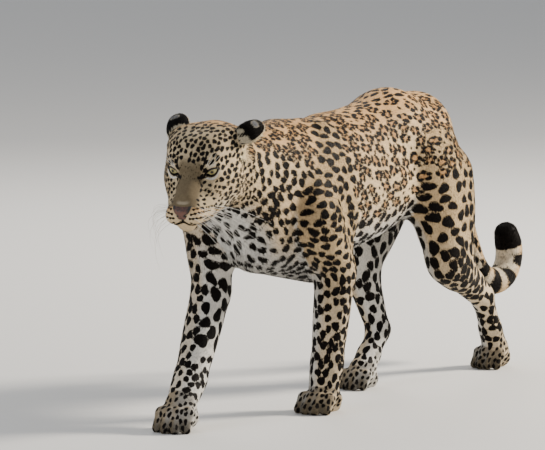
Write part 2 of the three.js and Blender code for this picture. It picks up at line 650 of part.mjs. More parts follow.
const inNose = (x, y, z) => new THREE.Vector3(x, y, z).applyMatrix4(NOSE_FRAME).add(NOSE_PLACE);
let nose = leather(0);
for (const side of [-1, 1]) {
  const nostril = new THREE.CatmullRomCurve3([
    inNose(side * 20, -3, 15), inNose(side * 13, -4, 16), inNose(side * 8, -1.5, 20), inNose(side * 6, 0, 26),
  ]);
  nose = nose.subtract(solidOf(bar(nostril, () => 2.6, { rings: 5, sides: 8 })));
}
parts.set('nose', nose);
skull = skull.subtract(leather(GAP));

// The line of the mouth, laid on the skin from the foot of the nose round to both corners
const headField = fieldOf(head());
function ontoSkin(p) {
  for (let pass = 0; pass < 8; pass += 1) {
    const d = headField(p.x, p.y, p.z);
    const slope = new THREE.Vector3(headField(p.x + 1, p.y, p.z) - d, headField(p.x, p.y + 1, p.z) - d,
      headField(p.x, p.y, p.z + 1) - d);
    p.addScaledVector(slope, -d / Math.max(slope.lengthSq(), 0.2));
  }
  return p;
}
const furrow = (stops) => solidOf(bar(
  new THREE.CatmullRomCurve3(stops.map((stop) => ontoSkin(onHead(...stop)))),
  () => MOUTH_LINE, { rings: stops.length * 2, sides: 6 }));
skull = skull.subtract(furrow([[0, 112, -54], [0, 112, -60], [0, 108, -67]]));
for (const side of [-1, 1]) {
  skull = skull.subtract(furrow([[0, 108, -66], [side * 12, 106, -72], [side * 22, 102, -74],
    [side * 30, 96, -76], [side * 38, 80, -80], [side * 43, 60, -82], [side * 50, 43, -76], [side * 57, 31, -66],
    [side * 60, 20, -61]]));
}
parts.set('head', skull);

// The ears: cups turned back and out, each set on the skin of the head
const EARS = [
  { name: 'ear_left', root: onHead(73, -93, 40),
    tip: headWay(0.72, -0.62, 0.3), back: headWay(0.05, 0.4, 0.9) },
  { name: 'ear_right', root: onHead(-60, -94, 41),
    tip: headWay(-0.34, -0.86, 0.36), back: headWay(-0.2, 0.5, 0.85) },
];
const underEars = fleshWithin(everyMass, HEAD_BOX, 12, 0.5);
for (const { name, root, tip, back } of EARS) {
  const { halfWidth, halfLength, depth, thickness } = EAR;
  const length = tip.clone().normalize();
  const outer = back.clone().addScaledVector(length, -back.dot(length)).normalize();
  const across = new THREE.Vector3().crossVectors(length, outer);
  const centre = root.clone().addScaledVector(length, halfLength * 0.75);
  const bowl = (less) => solidOf(new THREE.SphereGeometry(1, 14, 9)
    .rotateX(Math.PI / 2)
    .scale(halfWidth - less, halfLength - less, depth - less)
    .applyMatrix4(new THREE.Matrix4().makeBasis(across, length, outer))
    .translate(centre.x, centre.y, centre.z));
  const mouth = plane(centre.clone().addScaledVector(outer, 2), outer.clone().negate());
  const cup = bowl(0).subtract(bowl(thickness)).subtract(beyond(mouth, 0));
  parts.set(name, cup.subtract(underEars));
}

// The finished figure
const COLOURS = {
  coat: 0xc39a63, paw: 0xa98f6b, ear: 0x3a322b, eye: 0xb9b070, nose: 0x6d453a, tail: 0x8d7350,
};
const kindOf = (name) => Object.keys(COLOURS).find((kind) => name.includes(kind)) ?? 'coat';

const leopard = new THREE.Group();
for (const [name, solid] of parts) {
  const material = new THREE.MeshStandardMaterial({ color: COLOURS[kindOf(name)], roughness: 0.85 });
  const mesh = new THREE.Mesh(geometryOf(solid), material);
  mesh.name = name;
  leopard.add(mesh);
}

export default leopard;
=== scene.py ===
# A leopard at life size in mid stride, as a still model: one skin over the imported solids,
# a coat of short locks on it, eyes, rims of the lids, nose, ears and whiskers.
# Places on the animal are given in millimetres as (left, forward, up) from the ground under
# its left forefoot, and turned into metres of the frame by at().

import math
from functools import partial

import bpy
import numpy as np
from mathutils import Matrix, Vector


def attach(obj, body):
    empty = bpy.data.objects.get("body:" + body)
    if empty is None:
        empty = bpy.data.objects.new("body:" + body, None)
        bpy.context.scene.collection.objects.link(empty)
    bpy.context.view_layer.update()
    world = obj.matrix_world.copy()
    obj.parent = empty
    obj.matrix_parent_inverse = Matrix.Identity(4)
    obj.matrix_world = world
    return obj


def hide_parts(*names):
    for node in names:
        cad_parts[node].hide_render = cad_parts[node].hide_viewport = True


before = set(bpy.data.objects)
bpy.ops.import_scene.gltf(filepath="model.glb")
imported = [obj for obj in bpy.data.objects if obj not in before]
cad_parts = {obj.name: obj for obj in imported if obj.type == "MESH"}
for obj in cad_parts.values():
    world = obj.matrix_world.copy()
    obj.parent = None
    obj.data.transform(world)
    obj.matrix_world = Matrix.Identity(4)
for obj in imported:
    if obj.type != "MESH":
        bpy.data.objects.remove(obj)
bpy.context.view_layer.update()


# The camera. It stands where the photographer stood, ten metres off to the front and left,
# at eye height, and the left forefoot lies where the photograph has it.

FOREFOOT = Vector((0.061, -0.2197, 0.0))
CAMERA_TURN = math.radians(31)
CAMERA_AWAY = 10.0
CAMERA_HEIGHT = 1.561
LENS_PIXELS = 4500.0
FOREFOOT_PIXEL = (322.0, 415.0)
IMAGE_WIDTH, IMAGE_HEIGHT = 545, 450
look = Vector((-math.sin(CAMERA_TURN), math.cos(CAMERA_TURN), 0))
right = Vector((math.cos(CAMERA_TURN), math.sin(CAMERA_TURN), 0))
horizon = FOREFOOT_PIXEL[1] - LENS_PIXELS * CAMERA_HEIGHT / CAMERA_AWAY
pitch = math.atan((IMAGE_HEIGHT / 2 - horizon) / LENS_PIXELS)
aside = (FOREFOOT_PIXEL[0] - IMAGE_WIDTH / 2) / LENS_PIXELS * CAMERA_AWAY
camera = bpy.data.objects.new("camera", bpy.data.cameras.new("camera"))
camera.location = FOREFOOT - look * CAMERA_AWAY - right * aside + Vector((0, 0, CAMERA_HEIGHT))
aim = look * math.cos(pitch) - Vector((0, 0, math.sin(pitch)))
camera.rotation_mode = "QUATERNION"
camera.rotation_quaternion = aim.to_track_quat("-Z", "Y")
camera.data.sensor_fit = "HORIZONTAL"
camera.data.sensor_width = 36
camera.data.lens = LENS_PIXELS * camera.data.sensor_width / IMAGE_WIDTH * math.cos(pitch)
camera.data.clip_end = 100
bpy.context.collection.objects.link(camera)
bpy.context.scene.camera = camera


# The skin. One hide over bone, muscle and fat, stretched from nose to tail tip with no seam.
# The flesh is given as masses laid along the bones and melted together: tapered rods, some
# pressed flat, some fuller in the middle. Each knows the lie and the length of its hair.

LEFT_OF_MIDDLE, AHEAD_OF_MIDDLE = 1.0, 219.7


def unit(v):
    return v / np.linalg.norm(v)


def unit_rows(v):
    return v / np.maximum(np.linalg.norm(v, axis=1), 1e-9)[:, None]


def at(left, forward, up):
    return np.array([left + LEFT_OF_MIDDLE, -AHEAD_OF_MIDDLE - forward, up]) / 1000


def way(left, forward, up):
    return unit(np.array([left, -forward, up], float))


def shift(left, forward, up):
    return np.array([left, -forward, up]) / 1000


SIDEWAYS = way(1, 0, 0)
UPWARDS = way(0, 0, 1)
HEAD_PITCH = math.radians(-21)
HEAD_YAW = math.radians(12.5)
HEAD_ORIGIN = at(7.5, 455, 575)
NAPE = at(4, 315, 584)
NECK_ROOT = at(0, 95, 545)
FORELEGS = {
    1: dict(scapula=at(48, -20, 612), shoulder=at(102, 95, 455), elbow=at(86, -26, 312),
            wrist=at(66, -16, 108), knuckles=at(67, 4, 37)),
    -1: dict(scapula=at(-46, 62, 618), shoulder=at(-104, 232, 468), elbow=at(-98, 214, 290),
             wrist=at(-79, 335, 105), knuckles=at(-68, 394, 53)),
}
HINDLEGS = {
    1: dict(hip=at(72, -500, 520), knee=at(98, -512, 292), hock=at(78, -734, 178),
            knuckles=at(70, -812, 46)),
    -1: dict(hip=at(-72, -485, 520), knee=at(-86, -392, 322), hock=at(-50, -456, 122),
             knuckles=at(-38, -356, 38)),
}


def turn_about(axis, angle):
    x, y, z = axis
    c, s = math.cos(angle), math.sin(angle)
    return np.array([
        [c + x * x * (1 - c), x * y * (1 - c) - z * s, x * z * (1 - c) + y * s],
        [y * x * (1 - c) + z * s, c + y * y * (1 - c), y * z * (1 - c) - x * s],
        [z * x * (1 - c) - y * s, z * y * (1 - c) + x * s, c + z * z * (1 - c)]])


HEAD_TURN = turn_about(UPWARDS, HEAD_YAW) @ turn_about(SIDEWAYS, -HEAD_PITCH)


def head_way(left, forward, up):
    return HEAD_TURN @ np.array([left, -forward, up], float)


def on_head(left, forward, up):
    return head_way(left, forward, up) / 1000 + HEAD_ORIGIN


def mass(a, b, ra, rb, belly=0, flat=1.0, along=SIDEWAYS, blend=24, lie=1, fur=6.5, part="trunk"):
    reach = (max(ra, rb) + belly + blend) * max(1, flat) / 1000
    return dict(
        a=a, d=b - a, dd=max(float((b - a) @ (b - a)), 1e-12), ra=ra / 1000, rb=rb / 1000,
        belly=belly / 1000, flat=flat, n=unit(along), blend=blend / 1000,
        low=np.minimum(a, b) - reach, high=np.maximum(a, b) + reach, lie=lie, fur=fur / 1000,
        part=part)


def trunk():
    return [
        mass(at(0, 70, 508), at(0, -90, 500), 126, 138, flat=0.7, blend=40),
        mass(at(0, -90, 500), at(0, -270, 508), 140, 130, flat=0.74, blend=60),
        mass(at(0, 175, 408), at(0, -60, 350), 80, 70, flat=0.92, blend=60, fur=8),
        mass(at(0, -200, 470), at(0, -430, 492), 120, 104, flat=0.8, blend=60, fur=8),
        mass(at(0, -130, 588), at(0, -400, 626), 62, 66, flat=1.1, blend=60),
        mass(at(0, -390, 600), at(0, -530, 594), 90, 88, flat=0.95, blend=50),
        mass(at(0, -530, 575), at(0, -612, 548), 84, 66, flat=0.95, blend=50),
    ]


def neck():
    throat_end = on_head(0, -85, -45)
    return [
        mass(NECK_ROOT, NAPE, 106, 76, flat=0.84, blend=60, lie=-1, fur=6.5, part="neck"),
        mass(at(0, 190, 455), throat_end, 92, 58, flat=0.9, blend=50, lie=-1, fur=8, part="neck"),
        mass(at(0, 0, 600), NAPE, 52, 52, flat=0.9, blend=50, lie=-1, fur=6.5, part="neck"),
    ]


def shoulder(side):
    leg = FORELEGS[side]
    out = way(side, 0, 0)
    triceps = leg["scapula"] * 0.55 + leg["shoulder"] * 0.45 + shift(0, -55, -8)
    heel = leg["elbow"] + shift(0, -22, 22)
    return [
        mass(leg["scapula"], leg["shoulder"], 36, 58, belly=14, flat=0.62,
             along=way(side, 0.12, 0.25), blend=34, part="foreleg"),
        mass(leg["shoulder"], leg["elbow"], 56, 44, belly=8, flat=0.82, along=out, blend=34,
             part="foreleg"),
        mass(triceps, heel, 44, 24, belly=14, flat=0.66, along=out, blend=34, part="foreleg"),
    ]


def paw(leg, start, heading, width, length, side, dewclaw):
    knuckles = leg["knuckles"]
    drop = knuckles[2] * 1000
    sideways = np.cross(heading, UPWARDS)

    def step(out, ahead, up):
        return knuckles + (sideways * out + heading * ahead + UPWARDS * up) / 1000

    hair = dict(fur=4, part="paw")
    found = [
        mass(start, step(0, 0, 0), width * 0.3, width * 0.29, flat=1.12, along=sideways, blend=18,
             **hair),
        mass(step(0, -16, -drop * 0.5), step(0, 8, -drop * 0.6), width * 0.35, width * 0.3,
             flat=1.18, along=sideways, blend=14, **hair),
        mass(step(0, 0, 2), step(0, length * 0.5, 4 - drop * 0.42), width * 0.3, width * 0.2,
             flat=1.3, along=sideways, blend=16, **hair),
    ]
    for toe in range(4):
        across = (toe - 1.5) / 1.5
        reach = length * (1 - 0.22 * across * across)
        root = step(across * width * 0.25, 2, -drop * 0.1)
        knee = step(across * width * 0.35, reach * 0.6, 13 - drop * 0.5)
        tip = step(across * width * 0.38, reach, 10 - drop)
        found.append(mass(root, knee, width * 0.15, width * 0.17, blend=9, **hair))
        found.append(mass(knee, tip, width * 0.17, width * 0.15, blend=7, **hair))
    if dewclaw:
        claw = start - SIDEWAYS * side * 0.020
        found.append(mass(claw, step(-side * 30, -12, -8), 12, 12, blend=9, **hair))
    return found


def foreleg_below(side):
    leg = FORELEGS[side]
    out = way(side, 0, 0)
    heading = unit((leg["knuckles"] - leg["wrist"]) * np.array([1, 1, 0]))
    extensor = leg["elbow"] + shift(-side * 4, 14, -16)
    middle = (leg["wrist"] + leg["knuckles"]) / 2
    start = leg["wrist"] * 0.6 + leg["knuckles"] * 0.4
    hair = dict(fur=5, part="foreleg")
    return [
        mass(leg["elbow"], leg["wrist"], 42, 31, belly=3, flat=0.92, along=out, **hair),
        mass(extensor, leg["wrist"], 38, 30, belly=3, flat=0.95, along=out, **hair),
        mass(leg["wrist"], middle, 33, 33, flat=1.08, along=out, blend=20, **hair),
        *paw(leg, start, heading, 88, 66, side, True),
    ]


def thigh(side):
    leg = HINDLEGS[side]
    out = way(side, 0, 0)
    hair = dict(blend=40, fur=6.5, part="hindleg")
    front = leg["hip"] + shift(0, 46, 20)
    seat = leg["hip"] + shift(-side * 4, -96, -40)
    calf_top = leg["knee"] * 0.66 + leg["hock"] * 0.34
    calf_start = leg["knee"] * 0.82 + leg["hock"] * 0.18
    return [
        mass(front, leg["knee"], 72, 48, belly=12, flat=0.7, along=out, **hair),
        mass(leg["hip"], calf_start, 80, 42, belly=12, flat=0.68, along=out, **hair),
        mass(seat, calf_top, 66, 34, belly=12, flat=0.7, along=out, **hair),
    ]


def hindleg_below(side):
    leg = HINDLEGS[side]
    out = way(side, 0, 0)
    shin = unit(leg["hock"] - leg["knee"])
    behind = unit(np.cross(shin, SIDEWAYS))
    if behind[1] < 0:
        behind = -behind
    calf = leg["knee"] * 0.7 + leg["hock"] * 0.3 + behind * 0.022
    heel_bone = leg["hock"] + behind * 0.020 - shin * 0.008
    start = leg["hock"] * 0.4 + leg["knuckles"] * 0.6
    hair = dict(fur=5, part="hindleg")
    return [
        mass(leg["knee"], leg["hock"] + shift(0, 6, 0), 48, 28, flat=0.86, along=out, blend=26,
             **hair),
        mass(calf, heel_bone, 36, 14, flat=0.8, along=out, blend=24, **hair),
        mass(leg["hock"], leg["knuckles"], 28, 26, flat=0.95, along=out, blend=18, **hair),
        *paw(leg, start, way(0, 1, 0), 78, 60, side, False),
    ]


TAIL_STOPS = [
    at(0, -575, 590), at(0, -650, 574), at(-4, -712, 510), at(-8, -757, 412), at(-6, -800, 306),
    at(4, -838, 228), at(18, -880, 196), at(28, -928, 206), at(31, -956, 250), at(30, -950, 290),
    at(29, -944, 306)]


def smooth_line(stops, count):
    """Points at even spacing on a centripetal curve through the stops."""
    stops = np.array(stops)
    ends = [2 * stops[0] - stops[1], *stops, 2 * stops[-1] - stops[-2]]
    fine = []
    for p0, p1, p2, p3 in zip(ends, ends[1:], ends[2:], ends[3:]):
        t0 = 0.0
        t1 = t0 + np.linalg.norm(p1 - p0) ** 0.5
        t2 = t1 + np.linalg.norm(p2 - p1) ** 0.5
        t3 = t2 + np.linalg.norm(p3 - p2) ** 0.5
        for t in np.linspace(t1, t2, 24, endpoint=False):
            a1 = (t1 - t) / (t1 - t0) * p0 + (t - t0) / (t1 - t0) * p1
            a2 = (t2 - t) / (t2 - t1) * p1 + (t - t1) / (t2 - t1) * p2
            a3 = (t3 - t) / (t3 - t2) * p2 + (t - t2) / (t3 - t2) * p3
            b1 = (t2 - t) / (t2 - t0) * a1 + (t - t0) / (t2 - t0) * a2
            b2 = (t3 - t) / (t3 - t1) * a2 + (t - t1) / (t3 - t1) * a3
            fine.append((t2 - t) / (t2 - t1) * b1 + (t - t1) / (t2 - t1) * b2)
    fine = np.array([*fine, stops[-1]])
    run = np.concatenate([[0], np.cumsum(np.linalg.norm(np.diff(fine, axis=0), axis=1))])
    even = np.linspace(0, run[-1], count)
    return np.stack([np.interp(even, run, fine[:, i]) for i in range(3)], axis=1)


def tail():
    line = smooth_line(TAIL_STOPS, 33)
    girth = np.interp(np.linspace(0, 1, 33), [0, 0.35, 1], [33, 28, 31])
    return [mass(line[i], line[i + 1], girth[i], girth[i + 1], blend=12 if i else 34, fur=8,
                 part="tail") for i in range(32)]


EYE_RADIUS = 16.5
EYES = {side: on_head(side * 40, -6, 10) for side in (1, -1)}


def head():
    across = head_way(1, 0, 0)
    upright = head_way(0, 0, 1)

    def one(a, b, ra, rb, **rest):
        given = dict(fur=4.2, part="head", lie=-1)
        given.update(rest)
        return mass(on_head(*a), on_head(*b), ra, rb, **given)

    found = [
        one([0, -34, 12], [0, -92, 15], 46, 50, flat=1.2, along=across, blend=30, lie=1, fur=5),
        one([0, -4, 8], [0, -44, 25], 28, 41, flat=1.15, along=across, blend=26, lie=1),
        one([0, 4, 0], [0, 66, -26], 26, 21, flat=1.02, along=across, blend=18, fur=2.8),
        one([0, 42, -18], [0, 80, -37], 20, 18, flat=1.34, along=across, blend=10, fur=2.8),
        one([0, 54, -72], [0, 80, -80], 24, 18, flat=1.2, along=across, blend=16, fur=5),
        one([0, -95, -12], [0, -130, -8], 60, 64, blend=40, lie=1, fur=7),
        one([0, -60, -60], [0, 16, -66], 46, 32, flat=1.1, along=across, blend=30, fur=8),
    ]
    for side in (-1, 1):
        found += [
            one([side * 21, 52, -53], [side * 20, 86, -55], 27, 24, flat=0.96, along=upright,
                blend=14, fur=3.2),
            one([side * 46, -16, -12], [side * 59, -58, -10], 23, 24, blend=26, lie=1, fur=5),
            one([side * 38, 12, -34], [side * 54, -44, -38], 24, 33, blend=26, lie=1, fur=6),
            one([side * 30, 26, -66], [side * 46, -60, -60], 22, 33, blend=28, lie=1, fur=8),
            one([side * 23, 6, 24], [side * 45, -16, 26], 12, 14, blend=16, lie=1, fur=3.4),
            one([side * 40, -56, 26], [side * 42, -98, 28], 33, 35, blend=30, lie=1, fur=5),
            one([side * 58, -88, 30], [side * 64, -98, 36], 26, 20, blend=22, lie=1, fur=6),
        ]
    for side in (1, -1):
        socket = EYE_RADIUS + 3
        found.append(mass(EYES[side], EYES[side] + 1e-6, socket, socket, blend=12, fur=2.6,
                          part="head"))
    return found


MASSES = [*trunk(), *neck()]
for half in (1, -1):
    MASSES += [*shoulder(half), *foreleg_below(half)]
for half in (1, -1):
    MASSES += [*thigh(half), *hindleg_below(half)]
MASSES += [*tail(), *head()]


def distance_to(m, x, y, z):
    qx, qy, qz = x - m["a"][0], y - m["a"][1], z - m["a"][2]
    dx, dy, dz = m["d"]
    t = np.clip((qx * dx + qy * dy + qz * dz) / m["dd"], 0, 1)
    qx, qy, qz = qx - t * dx, qy - t * dy, qz - t * dz
    radius = m["ra"] + (m["rb"] - m["ra"]) * t + m["belly"] * 4 * t * (1 - t)
    square = qx * qx + qy * qy + qz * qz
    if m["flat"] == 1:
        return np.sqrt(square) - radius
    w = qx * m["n"][0] + qy * m["n"][1] + qz * m["n"][2]
    rest = np.maximum(0, square - w * w)
    once = np.sqrt(rest + (w / m["flat"]) ** 2)
    twice = np.sqrt(rest + (w / m["flat"] ** 2) ** 2)
    return (once - radius) * once / np.maximum(twice, 1e-9)


def melt(d, one, blend):
    h = np.maximum(0, blend - np.abs(d - one)) / blend
    return np.minimum(d, one) - h * h * blend / 4


def field(points):
    d = np.full(len(points), 1.0)
    for m in MASSES:
        near = np.flatnonzero(((points > m["low"]) & (points < m["high"])).all(axis=1))
        if len(near):
            p = points[near]
            d[near] = melt(d[near], distance_to(m, p[:, 0], p[:, 1], p[:, 2]), m["blend"])
    return d


def slope(points, step=0.0005):
    here = field(points)
    rise = np.stack([field(points + step * axis) - here for axis in np.eye(3)], axis=1) / step
    return here, rise


def drawn_to_surface(points, level=0.0, passes=3, most=0.003):
    points = points.copy()
    for _ in range(passes):
        here, rise = slope(points)
        move = -rise * ((here - level) / np.maximum((rise * rise).sum(axis=1), 0.2))[:, None]
        length = np.linalg.norm(move, axis=1)
        points += move * np.minimum(1, most / np.maximum(length, 1e-9))[:, None]
    return points


def field_on_grid(low, shape, cell):
    grid = np.full(shape, 1.0, np.float32)
    axes = [low[i] + cell * np.arange(shape[i]) for i in range(3)]
    for m in MASSES:
        start = np.clip(np.floor((m["low"] - low) / cell), 0, shape).astype(int)
        stop = np.clip(np.ceil((m["high"] - low) / cell) + 1, 0, shape).astype(int)
        if (start >= stop).any():
            continue
        part = tuple(slice(a, b) for a, b in zip(start, stop))
        x, y, z = (axis[some] for axis, some in zip(axes, part))
        one = distance_to(m, x[:, None, None], y[None, :, None], z[None, None, :])
        grid[part] = melt(grid[part], one, m["blend"])
    return grid


def surface_of(grid, low, cell):
    """A closed net of triangles where the grid's values change sign."""
    for _ in range(3):
        for axis in range(3):
            plane = np.moveaxis(grid, axis, 0)
            a, b = plane[:, :-1, :-1] < 0, plane[:, 1:, :-1] < 0
            c, d = plane[:, 1:, 1:] < 0, plane[:, :-1, 1:] < 0
            plane[:, 1:, :-1][a & c & ~b & ~d] = -1e-5
            plane[:, :-1, :-1][b & d & ~a & ~c] = -1e-5
    inside = grid < 0
    corner = [(i, j, k) for i in (0, 1) for j in (0, 1) for k in (0, 1)]
    sx, sy, sz = (n - 1 for n in grid.shape)
    count = sum(inside[i:i + sx, j:j + sy, k:k + sz].astype(np.int8) for i, j, k in corner)
    crossed = np.argwhere((count > 0) & (count < 8))
    number = np.full((sx, sy, sz), -1, np.int32)
    number[tuple(crossed.T)] = np.arange(len(crossed))
    total = np.zeros((len(crossed), 3))
    hits = np.zeros(len(crossed))
    for a in corner:
        for axis in range(3):
            if a[axis]:
                continue
            b = tuple(1 if i == axis else a[i] for i in range(3))
            va = grid[tuple((crossed + a).T)]
            vb = grid[tuple((crossed + b).T)]
            cut = (va < 0) != (vb < 0)
            t = np.where(cut, va / np.where(cut, va - vb, 1), 0)
            spot = np.repeat([a], len(crossed), axis=0).astype(float)
            spot[:, axis] += t
            total += spot * cut[:, None]
            hits += cut
    points = low + cell * (crossed + total / hits[:, None])
    quads = []
    for axis in range(3):
        u, v = (axis + 1) % 3, (axis + 2) % 3
        here = np.take(inside, range(grid.shape[axis] - 1), axis)
        there = np.take(inside, range(1, grid.shape[axis]), axis)
        edges = np.argwhere(here != there)
        edges = edges[(edges[:, u] > 0) & (edges[:, v] > 0)]
        edges = edges[(edges[:, u] < grid.shape[u] - 1) & (edges[:, v] < grid.shape[v] - 1)]
        ring = []
        for du, dv in ((1, 1), (0, 1), (0, 0), (1, 0)):
            cell_at = edges.copy()
            cell_at[:, u] -= du
            cell_at[:, v] -= dv
            ring.append(number[tuple(cell_at.T)])
        ring = np.stack(ring, axis=1)
        outward = inside[tuple(edges.T)]
        quads.append(np.where(outward[:, None], ring, ring[:, ::-1]))
    q = np.concatenate(quads)
    short = (np.linalg.norm(points[q[:, 0]] - points[q[:, 2]], axis=1)
             < np.linalg.norm(points[q[:, 1]] - points[q[:, 3]], axis=1))
    first = np.where(short[:, None], q[:, [0, 1, 2]], q[:, [1, 2, 3]])
    second = np.where(short[:, None], q[:, [0, 2, 3]], q[:, [1, 3, 0]])
    return points, np.concatenate([first, second])


def halved(points, faces, wanted):
    """Splits every triangle whose corners are all wanted into four, and its neighbours to match."""
    edges = np.sort(np.concatenate([faces[:, [0, 1]], faces[:, [1, 2]], faces[:, [2, 0]]]), axis=1)
    whole = wanted[faces].all(axis=1)
    names, place = np.unique(edges, axis=0, return_inverse=True)
    place = place.reshape(3, -1).T
    split = np.zeros(len(names), bool)
    split[place[whole].ravel()] = True
    middle = np.full(len(names), -1)
    middle[split] = len(points) + np.arange(split.sum())
    points = np.concatenate([points, points[names[split]].mean(axis=1)])
    m = middle[place]
    cuts = (m >= 0).sum(axis=1)
    made = [faces[cuts == 0]]
    f, c = faces[cuts == 3], m[cuts == 3]
    made += [np.stack([f[:, 0], c[:, 0], c[:, 2]], 1), np.stack([f[:, 1], c[:, 1], c[:, 0]], 1),
             np.stack([f[:, 2], c[:, 2], c[:, 1]], 1), c]
    for kept in range(3):
        turn = [kept, (kept + 1) % 3, (kept + 2) % 3]
        one = (cuts == 1) & (m[:, kept] >= 0)
        f, c = faces[one][:, turn], m[one][:, kept]
        made += [np.stack([f[:, 0], c, f[:, 2]], 1), np.stack([c, f[:, 1], f[:, 2]], 1)]
        two = (cuts == 2) & (m[:, kept] < 0)
        f, c = faces[two][:, turn], m[two][:, turn]
        made += [np.stack([f[:, 0], f[:, 1], c[:, 1]], 1), np.stack([f[:, 0], c[:, 1], c[:, 2]], 1),
                 np.stack([c[:, 1], f[:, 2], c[:, 2]], 1)]
    return points, np.concatenate(made)


CELL = 0.0062
TOES_TOP = 0.075
FACE_REACH = 27
UNDER_HAIR = 0.26
ABOVE_FLOOR = 0.0004
low_corner = np.array([-0.19, -0.81, -0.03])
grid_shape = (62, 262, 122)
flesh_grid = field_on_grid(low_corner, grid_shape, CELL)
skin_points, skin_faces = surface_of(flesh_grid, low_corner, CELL)
skin_points = drawn_to_surface(skin_points)


def head_place(points):
    """(left, forward, up) in the head's own frame, in millimetres."""
    return (points - HEAD_ORIGIN) @ HEAD_TURN * np.array([1000, -1000, 1000])


def near_face(points, reach):
    place = head_place(points)
    eye = np.minimum(np.linalg.norm(place - [41, 4, 10], axis=1),
                     np.linalg.norm(place - [-41, 4, 10], axis=1))
    muzzle = np.linalg.norm((place - [0, 92, -58]) / [1.2, 1, 1], axis=1)
    return (eye < reach) | (muzzle < reach * 1.55)


def on_skull(points, behind):
    place = head_place(points)
    return (place[:, 1] > behind) & (np.abs(place[:, 0]) < 110) & (np.abs(place[:, 2]) < 110)


for finer in (lambda points: on_skull(points, -92) | (points[:, 2] < TOES_TOP),
              lambda points: near_face(points, FACE_REACH)):
    skin_points, skin_faces = halved(skin_points, skin_faces, finer(skin_points))
    skin_points = drawn_to_surface(skin_points, passes=2, most=0.002)


def corner_normals(points, faces):
    a, b, c = (points[faces[:, i]] for i in range(3))
    across = np.cross(b - a, c - a)
    total = np.stack([np.bincount(faces.ravel(), np.repeat(across[:, i], 3), len(points))
                      for i in range(3)], axis=1)
    return unit_rows(total)


def hair_on(points):
    """The way the hair lies, its length in metres and the part of the body, at each point."""
    lies = np.zeros((len(points), 3))
    length = np.zeros(len(points))
    weight = np.full(len(points), 1e-9)
    best = np.full(len(points), 1.0)
    names = np.zeros(len(points), "U8")
    nose = on_head(0, 118, -34)
    for m in MASSES:
        near = np.flatnonzero(((points > m["low"]) & (points < m["high"])).all(axis=1))
        if not len(near):
            continue
        p = points[near]
        d = distance_to(m, p[:, 0], p[:, 1], p[:, 2])
        w = np.exp(-np.clip(d, -0.01, 1) / 0.009)
        run = m["d"] / np.sqrt(m["dd"]) * m["lie"]
        if m["part"] in ("trunk", "neck"):
            run = run + [0, 0.25, -0.35]
        if m["part"] == "head":
            run = unit_rows(p - nose)
        lies[near] += w[:, None] * run
        length[near] += w * m["fur"]
        weight[near] += w
        nearer = d < best[near]
        best[near[nearer]] = d[nearer]
        names[near[nearer]] = m["part"]
    return lies / weight[:, None], length / weight, names


def flattened(lies, normals):
    along = lies - (lies * normals).sum(axis=1)[:, None] * normals
    return unit_rows(along + 1e-6 * np.array([0, 1, -1]))


_, skin_fur, _ = hair_on(skin_points)
sunk = UNDER_HAIR * skin_fur[:, None] * corner_normals(skin_points, skin_faces)
skin_points = drawn_to_surface(skin_points, passes=1) - sunk


# The markings. Broken rings of three to five black blobs round a tawny heart on back and
# flanks, solid spots on legs, shoulders and head, blotches on the white chest and belly,
# bars at throat and hock, and rings at the end of the tail.

def paint(red, green, blue):
    """A colour as the eye names it, from 0 to 255, in the shader's linear light."""
    share = np.array([red, green, blue]) / 255
    return np.where(share < 0.04045, share / 12.92, ((share + 0.055) / 1.055) ** 2.4)


def ramp(values, start, stop):
    t = np.clip((values - start) / (stop - start), 0, 1)
    return t * t * (3 - 2 * t)


def blend(first, second, share):
    share = np.asarray(share)[..., None]
    return first * (1 - share) + second * share


# The back and flank tans are the coat's own colours lightened with painted sunlight; the leg tan is its own
# colour darkened with painted shade.
BACK_TAN_AND_SUNLIGHT = paint(212, 170, 118)
FLANK_TAN_AND_SUNLIGHT = paint(230, 204, 164)
LEG_TAN_AND_SHADE = paint(196, 168, 126)
CREAM = paint(222, 208, 182)
WHITE = paint(226, 225, 220)
FACE_TAN = paint(198, 178, 144)
PAD_TAN = paint(196, 176, 140)
# Pale hair of the ears, made brighter still as painted glow of light through them.
PALE_EAR_HAIR_AND_GLOW = paint(252, 234, 192)
# Painted shade for the lower fronts of the paws.
PAW_FRONT_SHADE = paint(76, 68, 55)
BRIDGE = paint(104, 91, 70)
BLACK_HAIR = paint(17, 13, 11)
TAWNY_HEART = paint(188, 142, 92)
TAIL_LINE = smooth_line(TAIL_STOPS, 200)
BREAST_WAY = way(0, 0.8, -0.6)
LIP_LINE = [(0, 108, -66), (12, 106, -72), (22, 102, -74), (30, 96, -76), (38, 80, -80),
            (43, 60, -82), (50, 43, -76), (57, 31, -66), (60, 20, -61)]
LIP_CLEFT = [(0, 112, -54), (0, 112, -60), (0, 108, -67)]
WHISKER_ROWS = [([(26, 98, -36), (42, 76, -43), (54, 42, -54)], 8),
                ([(22, 107, -44), (40, 93, -45), (49, 57, -58)], 8),
                ([(19, 110, -53), (36, 102, -54), (44, 74, -63)], 7),
                ([(20, 106, -64), (34, 94, -70), (44, 62, -73)], 6)]
LID_SLANT = math.radians(15)
LID_HALF_WIDTH, LID_ABOVE, LID_BELOW = 15.0, 5.8, 7.6
LEG_PARTS = ["foreleg", "hindleg", "paw"]
TAIL_RINGS_FROM, TAIL_TIP_FROM = 0.66, 0.955
BLOB_THICKNESS, BLOB_WAVER, BLOB_LENGTH = 7.2, 1.2, 0.46
SMALL_SPOT, SMALL_SPOT_ROOM = 4.6, 13.0


def body_place(points):
    """(left, forward, up) from the ground under the left forefoot, in millimetres."""
    return points * [1000, -1000, 1000] - [LEFT_OF_MIDDLE, AHEAD_OF_MIDDLE, 0]


def along_tail(points):
    share = np.zeros(len(points))
    least = np.full(len(points), 9.0)
    for i, stop in enumerate(TAIL_LINE):
        gap = ((points - stop) ** 2).sum(axis=1)
        nearer = gap < least
        least[nearer] = gap[nearer]
        share[nearer] = i / 199
    return share


